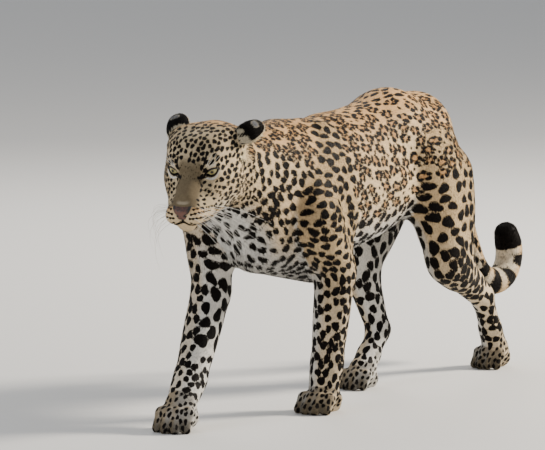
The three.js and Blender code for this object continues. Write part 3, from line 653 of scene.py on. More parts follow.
def to_line(places, stops, most=1e9):
    """The distance of each place to a line through the stops."""
    found = np.full(len(places), most)
    for a, b in zip(np.array(stops, float), np.array(stops[1:], float)):
        run = b - a
        t = np.clip(((places - a) @ run) / (run @ run), 0, 1)
        found = np.minimum(found, np.linalg.norm(places - a - t[:, None] * run, axis=1))
    return found


def laid_line(stops, side=1):
    """A line through places of the head, laid on the skin, in millimetres of the frame."""
    line = smooth_line([on_head(side * a, b, c) for a, b, c in stops], 5 * len(stops))
    return drawn_to_surface(line, passes=8, most=0.01) * 1000


def drawn_along(black, points, line, thick):
    """Draws a black line of the given half thickness, in millimetres, along the skin."""
    low, high = line.min(axis=0) / 1000 - 0.012, line.max(axis=0) / 1000 + 0.012
    near = np.flatnonzero(((points > low) & (points < high)).all(axis=1))
    if len(near):
        black[near] = np.maximum(black[near], thick - to_line(points[near] * 1000, line))


def eye_frame(side):
    """Outwards along the lids, up across them, and straight out of the eye."""
    gaze = unit(head_way(side * 0.3, 0.95, 0.04))
    across = head_way(side, 0, 0)
    across = unit(across - (across @ gaze) * gaze)
    upright = np.cross(gaze, across) * (1 if side < 0 else -1)
    if upright[2] < 0:
        upright = -upright
    c, s = math.cos(LID_SLANT), math.sin(LID_SLANT)
    return c * across + s * upright, c * upright - s * across, gaze


def lid_edges(x):
    """The heights of the upper and the lower lid's edge over the middle of the eye."""
    span = 1 - np.clip(np.abs(x) / LID_HALF_WIDTH, 0, 1) ** 2
    return LID_ABOVE * span ** 0.8 + 0.5, -LID_BELOW * span - 0.2


def lid_opening(points, side):
    """How far inside the opening of the lids each point is, in millimetres, and its place."""
    out, up, gaze = eye_frame(side)
    q = (points - EYES[side]) * 1000
    x, y, z = q @ out, q @ up, q @ gaze
    upper, lower = lid_edges(x)
    room = np.minimum(np.minimum(upper - y, y - lower), LID_HALF_WIDTH - np.abs(x))
    return np.where(z > 0, room, -30), x, y, z


def ground_colour(points, normals, parts):
    place = body_place(points)
    left, forward, up = place.T
    colour = blend(FLANK_TAN_AND_SUNLIGHT, BACK_TAN_AND_SUNLIGHT, ramp(normals[:, 2], -0.1, 0.8))
    colour = np.broadcast_to(colour, (len(points), 3)).copy()
    trunk_like = (parts == "trunk") | (parts == "neck")
    pale = ramp(-normals[:, 2], 0.12, 0.72) * ramp(-up, -560, -420)
    breast = ramp(normals @ BREAST_WAY, 0.3, 0.8) * ramp(forward, 20, 120)
    pale = np.where(trunk_like, np.maximum(pale, breast), 0)
    leg = np.isin(parts, LEG_PARTS)
    for side in (1, -1):
        own = leg & ((np.sign(left) == side) | (np.abs(left) < 6))
        inner = ramp(-normals[:, 0] * side - 0.15 * normals[:, 1], -0.1, 0.6) * ramp(-up, -480, -360)
        pale = np.where(own, np.maximum(pale, inner), pale)
    low = ramp(-up, -430, -150) * 0.55
    # The legs take the leg tan, which carries painted shade.
    colour = np.where(leg[:, None], blend(colour, LEG_TAN_AND_SHADE, 0.75), colour)
    colour = np.where(leg[:, None], blend(colour, CREAM, low), colour)
    advanced = (parts == "foreleg") & (left < 0)
    pale = np.where(advanced, np.maximum(pale, ramp(-normals[:, 1], -0.4, 0.4) * 0.4), pale)
    # The white on the legs is greyed, taken at 0.78 against 0.92 on the body, as painted shade.
    colour = blend(colour, WHITE, pale * np.where(leg, 0.78, 0.92))
    # Painted shade on the paws: darker towards the bottom and on the sides that face forward.
    toes = (parts == "paw") * np.maximum(ramp(-up, -66, -14), 0.66)
    toes = toes * ramp(-normals[:, 1] + 0.4 * normals[:, 2], -0.5, 0.5)
    colour = blend(colour, PAW_FRONT_SHADE, toes * 0.9)
    tail_share = along_tail(points)
    under = ramp(normals @ way(0, 1, -0.4), 0.1, 0.7)
    under = np.where(tail_share > 0.6, ramp(normals @ way(0, 0.9, 0.2), -0.1, 0.5), under)
    tail_colour = blend(blend(BACK_TAN_AND_SUNLIGHT, FLANK_TAN_AND_SUNLIGHT, 0.5)[None, :], CREAM, under)
    colour = np.where((parts == "tail")[:, None], tail_colour, colour)
    x, y, z = head_place(points).T
    skull = (y > -125) & (np.abs(x) < 118) & (np.abs(z) < 130) & (z - 0.5 * y > -80)
    face = np.broadcast_to(FACE_TAN, (len(points), 3))
    face = blend(face, FLANK_TAN_AND_SUNLIGHT, ramp(np.abs(x), 34, 70) * 0.7)
    wide = 27 - 0.2 * np.clip(26 - y, 0, 60) + 0.04 * np.clip(y - 26, 0, 60)
    bridge = ramp(-np.abs(x), -wide - 7, -wide + 4) * ramp(y, -6, 26) * ramp(z + 0.55 * y, -12, 6)
    pads = ramp(y, 34, 56) * ramp(-z, 26, 44)
    cheeks = ramp(-z, 36, 66) * ramp(y, -70, 10)
    face = blend(face, CREAM, cheeks * 0.9)
    face = blend(face, PAD_TAN, pads)
    face = blend(face, WHITE, ramp(-z, 80, 92) * ramp(y, -60, 20))
    face = blend(face, WHITE, ramp(-z, 75, 83) * ramp(y, 50, 66) * ramp(-np.abs(x), -34, -24) * 0.85)
    face = blend(face, BRIDGE, bridge * 0.94)
    # Painted highlight: a pale band along the fold of skin above the nose leather.
    nose_fold_highlight = ramp(-np.abs(z + 0.35 * (y - 100) + 27), -3.0, -1.0) * ramp(y, 84, 94)
    nose_fold_highlight = nose_fold_highlight * ramp(-np.abs(x), -19, -13)
    face = blend(face, CREAM, nose_fold_highlight * 0.35)
    for side in (1, -1):
        room, ex, ey, _ = lid_opening(points, side)
        under = ey - (lid_edges(ex)[1] - 5.8 + 0.12 * np.clip(ex, 0, 40))
        below = ramp(-np.abs(under), -2.4, -0.9) * ramp(ex, -20, -12) * ramp(-ex, -24, -12) * 0.9
        above = ramp(-np.abs(ey - 13.0), -3.4, -1.2) * ramp(-np.abs(ex - 5), -12, -6) * 0.35
        face = blend(face, WHITE, np.maximum(below, above) * (room > -26))
        bed = np.linalg.norm((np.stack([x, y, z], 1) - [side * 84, -104, 2]) / [34, 40, 27], axis=1)
        # Pale ear hair round the root of each ear, with its painted glow.
        face = blend(face, PALE_EAR_HAIR_AND_GLOW, ramp(-bed, -1.0, -0.6))
    share = ramp(y, -120, -80) * skull
    return blend(colour, face, share)


def spacing_and_size(points, normals, parts):
    """Room for each mark, its radius in millimetres, whether it is a broken ring, its slimness."""
    left, forward, up = body_place(points).T
    x, y, z = head_place(points).T
    room = np.full(len(points), 27.5)
    size = np.full(len(points), 11.6)
    ring = np.ones(len(points))
    slim = np.full(len(points), 0.76)

    def give(where, gap, radius, broken, narrow):
        room[where] = gap[where] if np.ndim(gap) else gap
        size[where] = radius[where] if np.ndim(radius) else radius
        ring[where] = broken
        slim[where] = narrow[where] if np.ndim(narrow) else narrow

    torso, neck, fore_leg = parts == "trunk", parts == "neck", parts == "foreleg"
    belly = (normals[:, 2] < -0.35) & torso & (up < 440)
    give(torso & (normals[:, 2] > 0.86), 16.5, 9.4, 0, 0.68)
    give(belly, 27, 14, 0, 0.86)
    give(torso & (forward > -130) & ~belly, 23.5, 9.8, 1, 0.77)
    give(torso & (forward > -40) & ~belly, 19.5, 10.8, 0, 0.77)
    give(neck, 18, 9.7, 0, 0.82)
    give(neck & (normals[:, 2] > 0.3), 22, 9.2, 1, 0.8)
    breast = (neck | torso) & (normals @ BREAST_WAY > 0.45) & (forward > 60)
    give(breast, 19, 9.8, 0, 0.78)
    high = np.clip((up - 120) / 380, 0, 1)
    give(fore_leg, 16 + 5.5 * high, 8.8 + 3.0 * high, 0, 0.9 - 0.12 * high)
    inner = fore_leg & (left < 0) & (normals[:, 0] > 0.45) & (up > 150)
    give(inner, 28, 14.5, 0, 0.84)
    hind = parts == "hindleg"
    hind_room = np.clip(17 + (up - 60) * 0.04, 17, 29)
    give(hind, hind_room, hind_room * 0.53, 0, 0.9 - 0.08 * ramp(up, 260, 400))
    give(hind & (up > 500), 27.5, 11.8, 1, 0.77)
    give(parts == "paw", 11, 5.2, 0, 0.76)
    give(parts == "tail", 22, 9, 0, 0.85)
    skull = (y > -118) & (np.abs(x) < 114) & (np.abs(z) < 125)
    give(skull, 12.2, 6.3, 0, 0.88)
    give(skull & (y > -70) & (z > 18), 11.0, 5.9, 0, 0.82)
    give(skull & (y > 8) & (z < 10), 8.8, 4.2, 0, 0.84)
    give(skull & (np.abs(x) < 25) & (y > 16), 4.6, 1.2, 0, 0.6)
    return room, size, ring, slim


def bare_of_marks(points):
    """Where the head carries no scattered spots: nose, pads, chin, lids and beside the ears."""
    x, y, z = head_place(points).T
    bare = (y > 40) & (z + 0.45 * y < -10) & (np.abs(x) > 12)
    bare |= (y > 84) | ((y > 10) & (z < -74)) | ((y > 42) & (np.abs(x) < 28) & (z > -40))
    for side in (1, -1):
        room, ex, ey, _ = lid_opening(points, side)
        bare |= (room > -6.5) | ((np.abs(ex) < 20) & (ey < -4) & (ey > -18))
    bare &= (y > -40) & (np.abs(x) < 80) & (z > -108)
    for side in (1, -1):
        bed = np.linalg.norm((np.stack([x, y, z], 1) - [side * 84, -104, 2]) / [34, 34, 22], axis=1)
        bare |= bed < 0.85
    return bare


def scattered_marks(points, normals, parts, lies, chance):
    """Picks places for marks so that none crowds another, and gives each its own shape."""
    order = chance.permutation(len(points))
    room, size, ring, slim = spacing_and_size(points, normals, parts)
    high = ramp(points[:, 2], 0.26, 0.4) * np.isin(parts, ["foreleg", "hindleg"])
    lies = flattened(blend(lies, way(0, -1, 0)[None, :], high), normals)
    keep = ~bare_of_marks(points) & ~((parts == "tail") & (along_tail(points) > TAIL_RINGS_FROM))
    fits = keep & (ring > 0.5) & (room > 22)
    square = 0.032
    homes = np.floor(points / square).astype(int).tolist()
    spots = (points * 1000).tolist()
    along = lies.tolist()
    rooms = room.tolist()
    spare = (1 - slim ** 4).tolist()
    beside = [(i, j, k) for i in (-1, 0, 1) for j in (-1, 0, 1) for k in (-1, 0, 1)]
    taken, chosen, small = {}, [], []
    for small_ones in (False, True):
        for i in order:
            if not (fits[i] if small_ones else keep[i]):
                continue
            a, b, c = homes[i]
            px, py, pz = spots[i]
            lx, ly, lz = along[i]
            own = SMALL_SPOT_ROOM if small_ones else rooms[i]
            free = True
            for da, db, dc in beside:
                for qx, qy, qz, theirs in taken.get((a + da, b + db, c + dc), ()):
                    run = (qx - px) * lx + (qy - py) * ly + (qz - pz) * lz
                    gap = (qx - px) ** 2 + (qy - py) ** 2 + (qz - pz) ** 2 - spare[i] * run * run
                    need = own * 0.62 + theirs * 0.44 if small_ones else (own + theirs) * 0.43
                    if gap < need ** 2:
                        free = False
                        break
                if not free:
                    break
            if free:
                taken.setdefault((a, b, c), []).append((px, py, pz, own))
                chosen.append(i)
                small.append(small_ones)
    chosen, small = np.array(chosen), np.array(small)
    radius = np.where(small, SMALL_SPOT, size[chosen]) * chance.uniform(0.86, 1.14, len(chosen))
    return dict(
        p=points[chosen], n=normals[chosen], x=lies[chosen], y=np.cross(normals[chosen], lies[chosen]),
        size=radius, ring=(ring[chosen] > 0.5) & ~small, lobes=chance.integers(4, 7, len(chosen)),
        phase=chance.uniform(0, 6.28, (len(chosen), 4)),
        stretch=slim[chosen] * chance.uniform(0.88, 1.12, len(chosen)))


def black_and_tawny(points, normals, marks):
    """Depth inside the black, in millimetres, and the share of tawny, at each point."""
    black = np.full(len(points), -6.0)
    heart = np.zeros(len(points))
    first_best, next_best = np.full((2, len(points)), -20.0)
    cell = 0.03
    key = np.floor((points - points.min(axis=0)) / cell).astype(np.int64) + 1
    code = (key[:, 0] * 4096 + key[:, 1]) * 4096 + key[:, 2]
    order = np.argsort(code, kind="stable")
    ranked = code[order]
    low = points.min(axis=0)
    for i in range(len(marks["p"])):
        home = np.floor((marks["p"][i] - low) / cell).astype(np.int64) + 1
        block = []
        for dx in (-1, 0, 1):
            for dy in (-1, 0, 1):
                first = ((home[0] + dx) * 4096 + home[1] + dy) * 4096 + home[2] - 1
                start, stop = np.searchsorted(ranked, [first, first + 3])
                block.append(order[start:stop])
        near = np.concatenate(block)
        q = (points[near] - marks["p"][i]) * 1000
        facing = normals[near] @ marks["n"][i] > 0.2
        near, q = near[facing], q[facing]
        x = q @ marks["x"][i] * marks["stretch"][i]
        y = q @ marks["y"][i] / marks["stretch"][i]
        r, turn = np.hypot(x, y), np.arctan2(y, x)
        phase, size = marks["phase"][i], marks["size"][i]
        wave = 1 + 0.13 * np.cos(2 * turn + phase[0]) + 0.1 * np.cos(3 * turn + phase[1])
        if marks["ring"][i]:
            n = marks["lobes"][i]
            apart = 2 * math.pi / n
            from_blob = np.abs((turn + phase[2] + 0.25 * np.sin(turn + phase[3])) % apart - apart / 2)
            long = size * apart * BLOB_LENGTH
            thick = BLOB_THICKNESS + BLOB_WAVER * np.cos(turn + phase[0])
            depth = thick * (1 - np.hypot(from_blob * size / long, (r - size * wave) / thick))
            heart[near] = np.maximum(heart[near], ramp(size * 0.95 - r, -1, 3) * 0.85)
            outer = size * wave + thick - r
        else:
            outer = depth = size * wave - r
        next_best[near] = np.maximum(next_best[near], np.minimum(first_best[near], outer))
        first_best[near] = np.maximum(first_best[near], outer)
        black[near] = np.maximum(black[near], depth)
    return np.minimum(black, (first_best - next_best) * 0.7 - 1.2), heart


def drawn_marks(points, normals, parts):
    """The marks that every leopard carries at a set place, with painted brow shadow over each eye."""
    black = np.full(len(points), -6.0)
    share = along_tail(points)
    ends = np.sin((share - 0.665) * 2 * math.pi / 0.074) * 5 + 1.6
    top = normals @ way(0, -1, -0.2)
    bands = np.minimum(ends, 4 + 14 * (top + 0.35))
    black = np.where((parts == "tail") & (share > TAIL_RINGS_FROM), np.maximum(black, bands), black)
    black = np.where((parts == "tail") & (share > TAIL_TIP_FROM), 3.0, black)
    for side in (1, -1):
        room, _, ey, _ = lid_opening(points, side)
        # The black rim is wider over the upper lid, where it also paints the shadow of the brow on the lid.
        rim = np.where(room > -30, room + np.where(ey > -1, 3.6, 2.8), -6)
        black = np.maximum(black, np.where(room < 3, rim, black))
        for stops, thick in (
                ([(20, 30, 6), (27, 24, 4), (34, 17, 4)], 3.6),
                ([(21, 30, 2), (25, 38, -10), (27, 46, -18)], 1.5),
                ([(57, 3, 11), (64, -10, 12), (70, -24, 14)], 2.1),
                # A black streak over the inner brow: partly the leopard's own mark, partly painted shadow of
                # the brow.
                ([(26, 22, 21), (30, 14, 30), (32, 0, 40)], 2.9),
                ([(24, 32, -7), (40, 24, -10), (54, 10, -6), (66, -8, -2)], 0.9),
                ([(27, 98, -31), (42, 70, -42), (57, 38, -51)], 0.9),
                (LIP_LINE, 4.3)):
            drawn_along(black, points, laid_line(stops, side), thick)
        for stops, count in WHISKER_ROWS:
            row = laid_line(stops, side)
            drawn_along(black, points, row, 1.7)
            for spot in row[np.linspace(0, 14, count).astype(int)]:
                near = np.flatnonzero((np.abs(points * 1000 - spot) < 6).all(axis=1))
                gap = np.linalg.norm(points[near] * 1000 - spot, axis=1)
                black[near] = np.maximum(black[near], 3.3 - gap)
    drawn_along(black, points, laid_line(LIP_CLEFT), 3.1)
    for stops, thick in (
            ([(78, 237, 514), (80, 231, 487), (75, 242, 468)], 7.5),
            ([(70, 254, 461), (57, 277, 458)], 6.5), ([(47, 281, 441), (34, 286, 436)], 5.5),
            ([(-76, 262, 506), (-70, 268, 480)], 7.0), ([(-58, 280, 462), (-36, 288, 446)], 6.0),
            ([(-40, 212, 470), (0, 228, 462), (30, 220, 470)], 6.0)):
        spots = drawn_to_surface(np.array([at(*s) for s in stops]), passes=8, most=0.03)
        drawn_along(black, points, spots * 1000, thick)
    for side in (1, -1):
        leg = HINDLEGS[side]
        for k in range(4):
            middle = leg["hock"] * (1 - k * 0.2) + leg["knuckles"] * k * 0.2
            back = middle + shift(side * 30, -30, 12)
            front = middle + shift(side * 34, 24, 0)
            spots = drawn_to_surface(np.array([back, front]), passes=8, most=0.03)
            drawn_along(black, points, spots * 1000, 4.2)
    return black


def modelled_face(points):
    """Sinks the skin behind each eyeball, lays the lids over it and cuts the line of the mouth."""
    points = points.copy()
    for side in (1, -1):
        room, x, y, z = lid_opening(points, side)
        q = points - EYES[side]
        far = np.maximum(np.linalg.norm(q, axis=1), 1e-6)
        lid = np.where(room > 0.9, EYE_RADIUS - 4.5, EYE_RADIUS + 1.5) / 1000
        target = EYES[side] + q / far[:, None] * lid[:, None]
        share = ramp(room, -6.5, -1.5) * (z > -2)
        points = points * (1 - share[:, None]) + target * share[:, None]
    normals = corner_normals(points, skin_faces)
    place = head_place(points)
    for side in (1, -1):
        cut = ramp(-to_line(points * 1000, laid_line(LIP_LINE, side)), -3.6, -0.6) * 0.003
        points -= normals * cut[:, None]
        swell = ramp(-np.linalg.norm((place - [side * 24, 96, -58]) / [1, 1, 0.8], axis=1), -22, -4)
        points += normals * (swell * 0.0016)[:, None]
    return points


skin_points = modelled_face(skin_points)
skin_points[:, 2] = np.maximum(skin_points[:, 2], ABOVE_FLOOR)
skin_normals = corner_normals(skin_points, skin_faces)
skin_lies, skin_fur, skin_parts = hair_on(skin_points)
skin_lies = flattened(skin_lies, skin_normals)
rng = np.random.default_rng(58)
marks = scattered_marks(skin_points, skin_normals, skin_parts, skin_lies, rng)


def markings_on(points, normals, parts):
    ground = ground_colour(points, normals, parts)
    black, heart = black_and_tawny(points, normals, marks)
    black = np.maximum(black, drawn_marks(points, normals, parts))
    return ground, black, heart


# The unwrap of the hide, as a furrier would lay it out: the body from tail root to neck is
# slit along the belly and opened flat, each leg and the tail likewise beside it, and the
# mask of the head is pressed flat from the front.

BETWEEN_PAWS = 0.1


def unrolled(points, axis, box):
    """Run along an axis line and turn about it, laid in a box of the unit square."""
    axis = np.array(axis)
    runs = np.concatenate([[0], np.cumsum(np.linalg.norm(np.diff(axis, axis=0), axis=1))])
    least = np.full(len(points), 9.0)
    run = np.zeros(len(points))
    turn = np.zeros(len(points))
    for i in range(len(axis) - 1):
        d = axis[i + 1] - axis[i]
        long = np.linalg.norm(d)
        t = (points - axis[i]) @ d / long ** 2
        kept = np.clip(t, 0, 1)
        off = points - axis[i] - kept[:, None] * d
        gap = np.linalg.norm(off, axis=1)
        first = unit(np.cross(d / long, SIDEWAYS))
        second = np.cross(d / long, first)
        nearer = gap < least
        least[nearer] = gap[nearer]
        run[nearer] = (runs[i] + kept * long)[nearer]
        turn[nearer] = np.arctan2(off @ second, off @ first)[nearer]
    u0, v0, u1, v1 = box
    u = u0 + (u1 - u0) * run / runs[-1]
    v = v0 + (v1 - v0) * (turn / 6.2832 + 0.5)
    return np.stack([u, v], 1), least


def hide_place(points, parts):
    """Where each point of the coat lies on the flat hide."""
    spine = [at(0, -640, 540), at(0, -400, 500), at(0, -100, 480), at(0, 100, 500), at(2, 230, 530),
             at(8, 400, 570)]
    flat, _ = unrolled(points, spine, (0.01, 0.01, 0.79, 0.53))
    left = body_place(points)[:, 0]
    for row, (legs, part) in enumerate(((FORELEGS, "foreleg"), (HINDLEGS, "hindleg"))):
        for side, u in ((1, 0.01), (-1, 0.37)):
            toes = legs[side]["knuckles"] + way(0, 1, 0) * 0.07
            bones = [stop for name, stop in legs[side].items() if name != "scapula"]
            box = (u, 0.55 + row * 0.16, u + 0.34, 0.70 + row * 0.16)
            on_leg, gap = unrolled(points, [*bones, toes], box)
            own_paw = (parts == "paw") & ((points[:, 1] > BETWEEN_PAWS) == (row == 1))
            own = ((parts == part) | own_paw) & (np.sign(left) == side) & (gap < 0.12)
            flat[own] = on_leg[own]
    on_tail, _ = unrolled(points, TAIL_LINE[::6], (0.01, 0.87, 0.60, 0.99))
    flat[parts == "tail"] = on_tail[parts == "tail"]
    head_at = head_place(points) - [0, -30, -20]
    away = np.linalg.norm(head_at, axis=1)
    side_on = np.hypot(head_at[:, 0], head_at[:, 2])
    bend = np.arccos(np.clip(head_at[:, 1] / np.maximum(away, 1), -1, 1)) / math.pi
    disc = np.stack([head_at[:, 0], head_at[:, 2]], 1) / np.maximum(side_on, 1e-6)[:, None]
    on_mask = np.array([0.86, 0.70]) + disc * (bend * 0.135)[:, None]
    mask = parts == "head"
    flat[mask] = on_mask[mask]
    return flat


# The hide itself and the shader that skin, coat and ears share: ground colour, black and
# tawny, with painted shade darkening the hair towards its roots, paler at its tips.

markings = bpy.data.node_groups.new("leopard markings", "ShaderNodeTree")
for title, kind in (("Ground", "NodeSocketColor"), ("Black depth", "NodeSocketFloat"),
                    ("Tawny", "NodeSocketFloat"), ("Root shade", "NodeSocketFloat"),
                    ("Strand", "NodeSocketFloat"), ("Softness", "NodeSocketFloat"),
                    ("Tawny colour", "NodeSocketColor"), ("Black colour", "NodeSocketColor")):
    markings.interface.new_socket(title, in_out="INPUT", socket_type=kind)
markings.interface.new_socket("Colour", in_out="OUTPUT", socket_type="NodeSocketColor")
markings.interface.new_socket("Roughness", in_out="OUTPUT", socket_type="NodeSocketFloat")


def step(tree, kind, feeds=None, **settings):
    """Adds a node, sets it and feeds its inputs from values or from other nodes' sockets."""
    node = tree.nodes.new(kind)
    for name, value in settings.items():
        setattr(node, name, value)
    for name, value in (feeds or {}).items():
        socket = node.inputs[name]
        if isinstance(value, bpy.types.NodeSocket):
            tree.links.new(value, socket)
        else:
            socket.default_value = value
    return node


def mixed(tree, share, first, second):
    node = step(tree, "ShaderNodeMix", data_type="RGBA")
    for index, value in ((0, share), (6, first), (7, second)):
        if isinstance(value, bpy.types.NodeSocket):
            tree.links.new(value, node.inputs[index])
        else:
            node.inputs[index].default_value = value
    return node.outputs[2]


def colour4(rgb):
    return (*[float(v) for v in rgb], 1.0)


def new_material(name, constants):
    """A material, its tree and its shader, with constants on the shader's own sockets."""
    material = bpy.data.materials.new(name)
    material.use_nodes = True
    shader = material.node_tree.nodes["Principled BSDF"]
    for title, value in constants.items():
        shader.inputs[title].default_value = value
    return material, material.node_tree, shader


def raised(tree, shader, height, strength, distance, **settings):
    """Gives the shader a fine relief of the height, as deep as the distance in metres."""
    relief = step(tree, "ShaderNodeBump", {"Height": height, "Strength": strength,
                                           "Distance": distance}, **settings)
    tree.links.new(relief.outputs[0], shader.inputs["Normal"])


shade = partial(step, markings)
given = shade("NodeGroupInput").outputs
where = shade("ShaderNodeTexCoord").outputs["Object"]
wisps = shade("ShaderNodeTexNoise", {"Vector": where, "Scale": 420.0, "Detail": 2.0})
clouds = shade("ShaderNodeTexNoise", {"Vector": where, "Scale": 14.0, "Detail": 3.0})
ragged = shade("ShaderNodeMath", {0: wisps.outputs["Fac"], 1: 3.2}, operation="MULTIPLY")
lifted = shade("ShaderNodeMath", {0: given["Black depth"], 1: ragged.outputs[0]}, operation="ADD")
edge = shade("ShaderNodeMapRange", {"Value": lifted.outputs[0], "From Min": 1.1})
widest = shade("ShaderNodeMath", {0: given["Softness"], 1: 1.1}, operation="ADD")
markings.links.new(widest.outputs[0], edge.inputs["From Max"])
tint = shade("ShaderNodeMapRange", {"Value": clouds.outputs["Fac"], "From Min": 0.3,
                                    "From Max": 0.7, "To Min": 0.86, "To Max": 1.1})
warm = mixed(markings, given["Tawny"], given["Ground"], given["Tawny colour"])
tinted = shade("ShaderNodeHueSaturation", {"Color": warm, "Value": tint.outputs[0]})
spotted = mixed(markings, edge.outputs[0], tinted.outputs[0], given["Black colour"])
# Painted shade: the colour grows darker towards the roots of the hair, read from the Root shade input.
painted_root_shade = shade("ShaderNodeMapRange", {"Value": given["Root shade"], "To Min": 0.58, "To Max": 1.08})
strand = shade("ShaderNodeMapRange", {"Value": given["Strand"], "To Min": 0.8, "To Max": 1.16})
both = shade("ShaderNodeMath", {0: painted_root_shade.outputs[0], 1: strand.outputs[0]}, operation="MULTIPLY")
final = shade("ShaderNodeHueSaturation", {"Color": spotted, "Value": both.outputs[0]})
rough = shade("ShaderNodeMapRange", {"Value": edge.outputs[0], "To Min": 0.72, "To Max": 0.55})
shade("NodeGroupOutput", {"Colour": final.outputs[0], "Roughness": rough.outputs[0]})


# A given root value is a fixed painted shade over the whole surface, in place of darkening towards each
# lock's root.
def hair_material(name, softness, bump, root=None):
    material, tree, shader = new_material(name, {"Specular IOR Level": 0.05})
    group = step(tree, "ShaderNodeGroup", {
        "Softness": softness, "Tawny colour": colour4(TAWNY_HEART),
        "Black colour": colour4(BLACK_HAIR)}, node_tree=markings)
    for title, source, socket in (
            ("Ground", "ground", "Color"), ("Black depth", "black", "Fac"), ("Tawny", "tawny", "Fac"),
            ("Root shade", "tip", "Fac"), ("Strand", "strand", "Fac")):
        if title == "Root shade" and root is not None:
            group.inputs[title].default_value = root
            continue
        read = step(tree, "ShaderNodeAttribute", attribute_name=source)
        tree.links.new(read.outputs[socket], group.inputs[title])
    tree.links.new(group.outputs["Colour"], shader.inputs["Base Color"])
    tree.links.new(group.outputs["Roughness"], shader.inputs["Roughness"])
    place = step(tree, "ShaderNodeTexCoord").outputs["Object"]
    grain = step(tree, "ShaderNodeTexNoise", {"Vector": place, "Scale": 900.0, "Detail": 2.0})
    raised(tree, shader, grain.outputs["Fac"], bump, 0.001)
    return material


def keep_on(mesh, **fields):
    """Keeps values on the mesh's points under the names that the materials read."""
    for title, values in fields.items():
        kind, slot = ("FLOAT", "value") if np.ndim(values) == 1 else ("FLOAT_VECTOR", "vector")
        layer = mesh.attributes.new(title, kind, "POINT")
        layer.data.foreach_set(slot, np.ascontiguousarray(values, np.float32).ravel())


def placed(name, mesh, material=None):
    piece = bpy.data.objects.new(name, mesh)
    bpy.context.collection.objects.link(piece)
    if material:
        mesh.materials.clear()
        mesh.materials.append(material)
    return piece


def smooth_mesh(name, points, faces):
    mesh = bpy.data.meshes.new(name)
    mesh.from_pydata(points, [], faces)
    mesh.shade_smooth()
    return mesh


skin_ground, skin_black, skin_tawny = markings_on(skin_points, skin_normals, skin_parts)
skin_mesh = smooth_mesh("skin", skin_points, skin_faces)
keep_on(skin_mesh, ground=skin_ground, black=skin_black, tawny=skin_tawny,
        strand=rng.uniform(0.2, 0.8, len(skin_points)))
# The hide under the locks carries a fixed painted shade (root 0.55), darker than the hair over it.
skin = placed("skin", skin_mesh, hair_material("short hair of the hide", 1.2, 0.5, root=0.55))
FLESH = [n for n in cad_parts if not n.startswith(("eye", "ear", "nose"))]
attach(skin, "root")
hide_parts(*FLESH)


# The coat. Short guard hair lying back over the hide in fine locks, longer and paler on the
# throat, belly and tail. Each lock is a slim solid blade rooted in the skin.

coat_blades = bpy.data.node_groups.new("coat tufts", "GeometryNodeTree")
coat_blades.interface.new_socket("Geometry", in_out="INPUT", socket_type="NodeSocketGeometry")
for title, kind, usual in (("Sides", "NodeSocketInt", 3), ("Segments", "NodeSocketInt", 1),
                           ("Patch", "NodeSocketFloat", 0.003),
                           ("Lock material", "NodeSocketMaterial", None)):
    socket = coat_blades.interface.new_socket(title, in_out="INPUT", socket_type=kind)
    if usual is not None:
        socket.default_value = usual
coat_blades.interface.new_socket("Geometry", in_out="OUTPUT", socket_type="NodeSocketGeometry")


def named(tree, title, kind="FLOAT_VECTOR"):
    return step(tree, "GeometryNodeInputNamedAttribute", {"Name": title}, data_type=kind).outputs[0]


tuft = partial(step, coat_blades)
given = tuft("NodeGroupInput").outputs
blade = tuft("GeometryNodeMeshCone", {
    "Vertices": given["Sides"], "Side Segments": given["Segments"], "Radius Top": 0.0,
    "Radius Bottom": 0.5, "Depth": 1.0}, fill_type="NGON").outputs["Mesh"]
spot = tuft("GeometryNodeInputPosition").outputs[0]
parts_of = tuft("ShaderNodeSeparateXYZ", {0: spot}).outputs
laid = tuft("ShaderNodeCombineXYZ", {"X": parts_of["Z"], "Y": parts_of["Y"], "Z": parts_of["X"]})
blade = tuft("GeometryNodeSetPosition", {"Geometry": blade, "Position": laid.outputs[0]}).outputs[0]
for title, value in (("tip", parts_of["Z"]), ("across", parts_of["Y"])):
    blade = tuft("GeometryNodeStoreNamedAttribute", {"Geometry": blade, "Name": title, "Value": value},
                 data_type="FLOAT", domain="POINT").outputs[0]
facing = tuft("FunctionNodeAxesToRotation", {
    0: named(coat_blades, "lie"), 1: named(coat_blades, "upright")},
    primary_axis="X", secondary_axis="Z")
locks = tuft("GeometryNodeInstanceOnPoints", {
    "Points": given["Geometry"], "Instance": blade, "Rotation": facing.outputs[0],
    "Scale": named(coat_blades, "size")}).outputs[0]
locks = tuft("GeometryNodeRealizeInstances", {"Geometry": locks}).outputs[0]
inner = tuft("ShaderNodeCombineXYZ", {
    "X": named(coat_blades, "tip", "FLOAT"), "Y": named(coat_blades, "across", "FLOAT")}).outputs[0]
patch = tuft("ShaderNodeVectorMath", {0: inner, "Scale": given["Patch"]}, operation="SCALE")
flat = tuft("ShaderNodeVectorMath", {
    0: named(coat_blades, "hide"), 1: patch.outputs[0]}, operation="ADD").outputs[0]
locks = tuft("GeometryNodeStoreNamedAttribute", {"Geometry": locks, "Name": "OFBake", "Value": flat},
             data_type="FLOAT2", domain="CORNER").outputs[0]
gain = tuft("ShaderNodeMath", {
    0: named(coat_blades, "black_gain", "FLOAT"), 1: named(coat_blades, "tip", "FLOAT")},
    operation="MULTIPLY")
depth = tuft("ShaderNodeMath", {
    0: named(coat_blades, "black", "FLOAT"), 1: gain.outputs[0]}, operation="ADD").outputs[0]
locks = tuft("GeometryNodeStoreNamedAttribute", {"Geometry": locks, "Name": "black", "Value": depth},
             data_type="FLOAT", domain="POINT").outputs[0]
for spent in ("size", "lie", "upright", "hide", "across", "black_gain"):
    locks = tuft("GeometryNodeRemoveAttribute", {"Geometry": locks, "Name": spent}).outputs[0]
locks = tuft("GeometryNodeSetMaterial", {
    "Geometry": locks, "Material": given["Lock material"]}).outputs[0]
tuft("NodeGroupOutput", {"Geometry": locks})


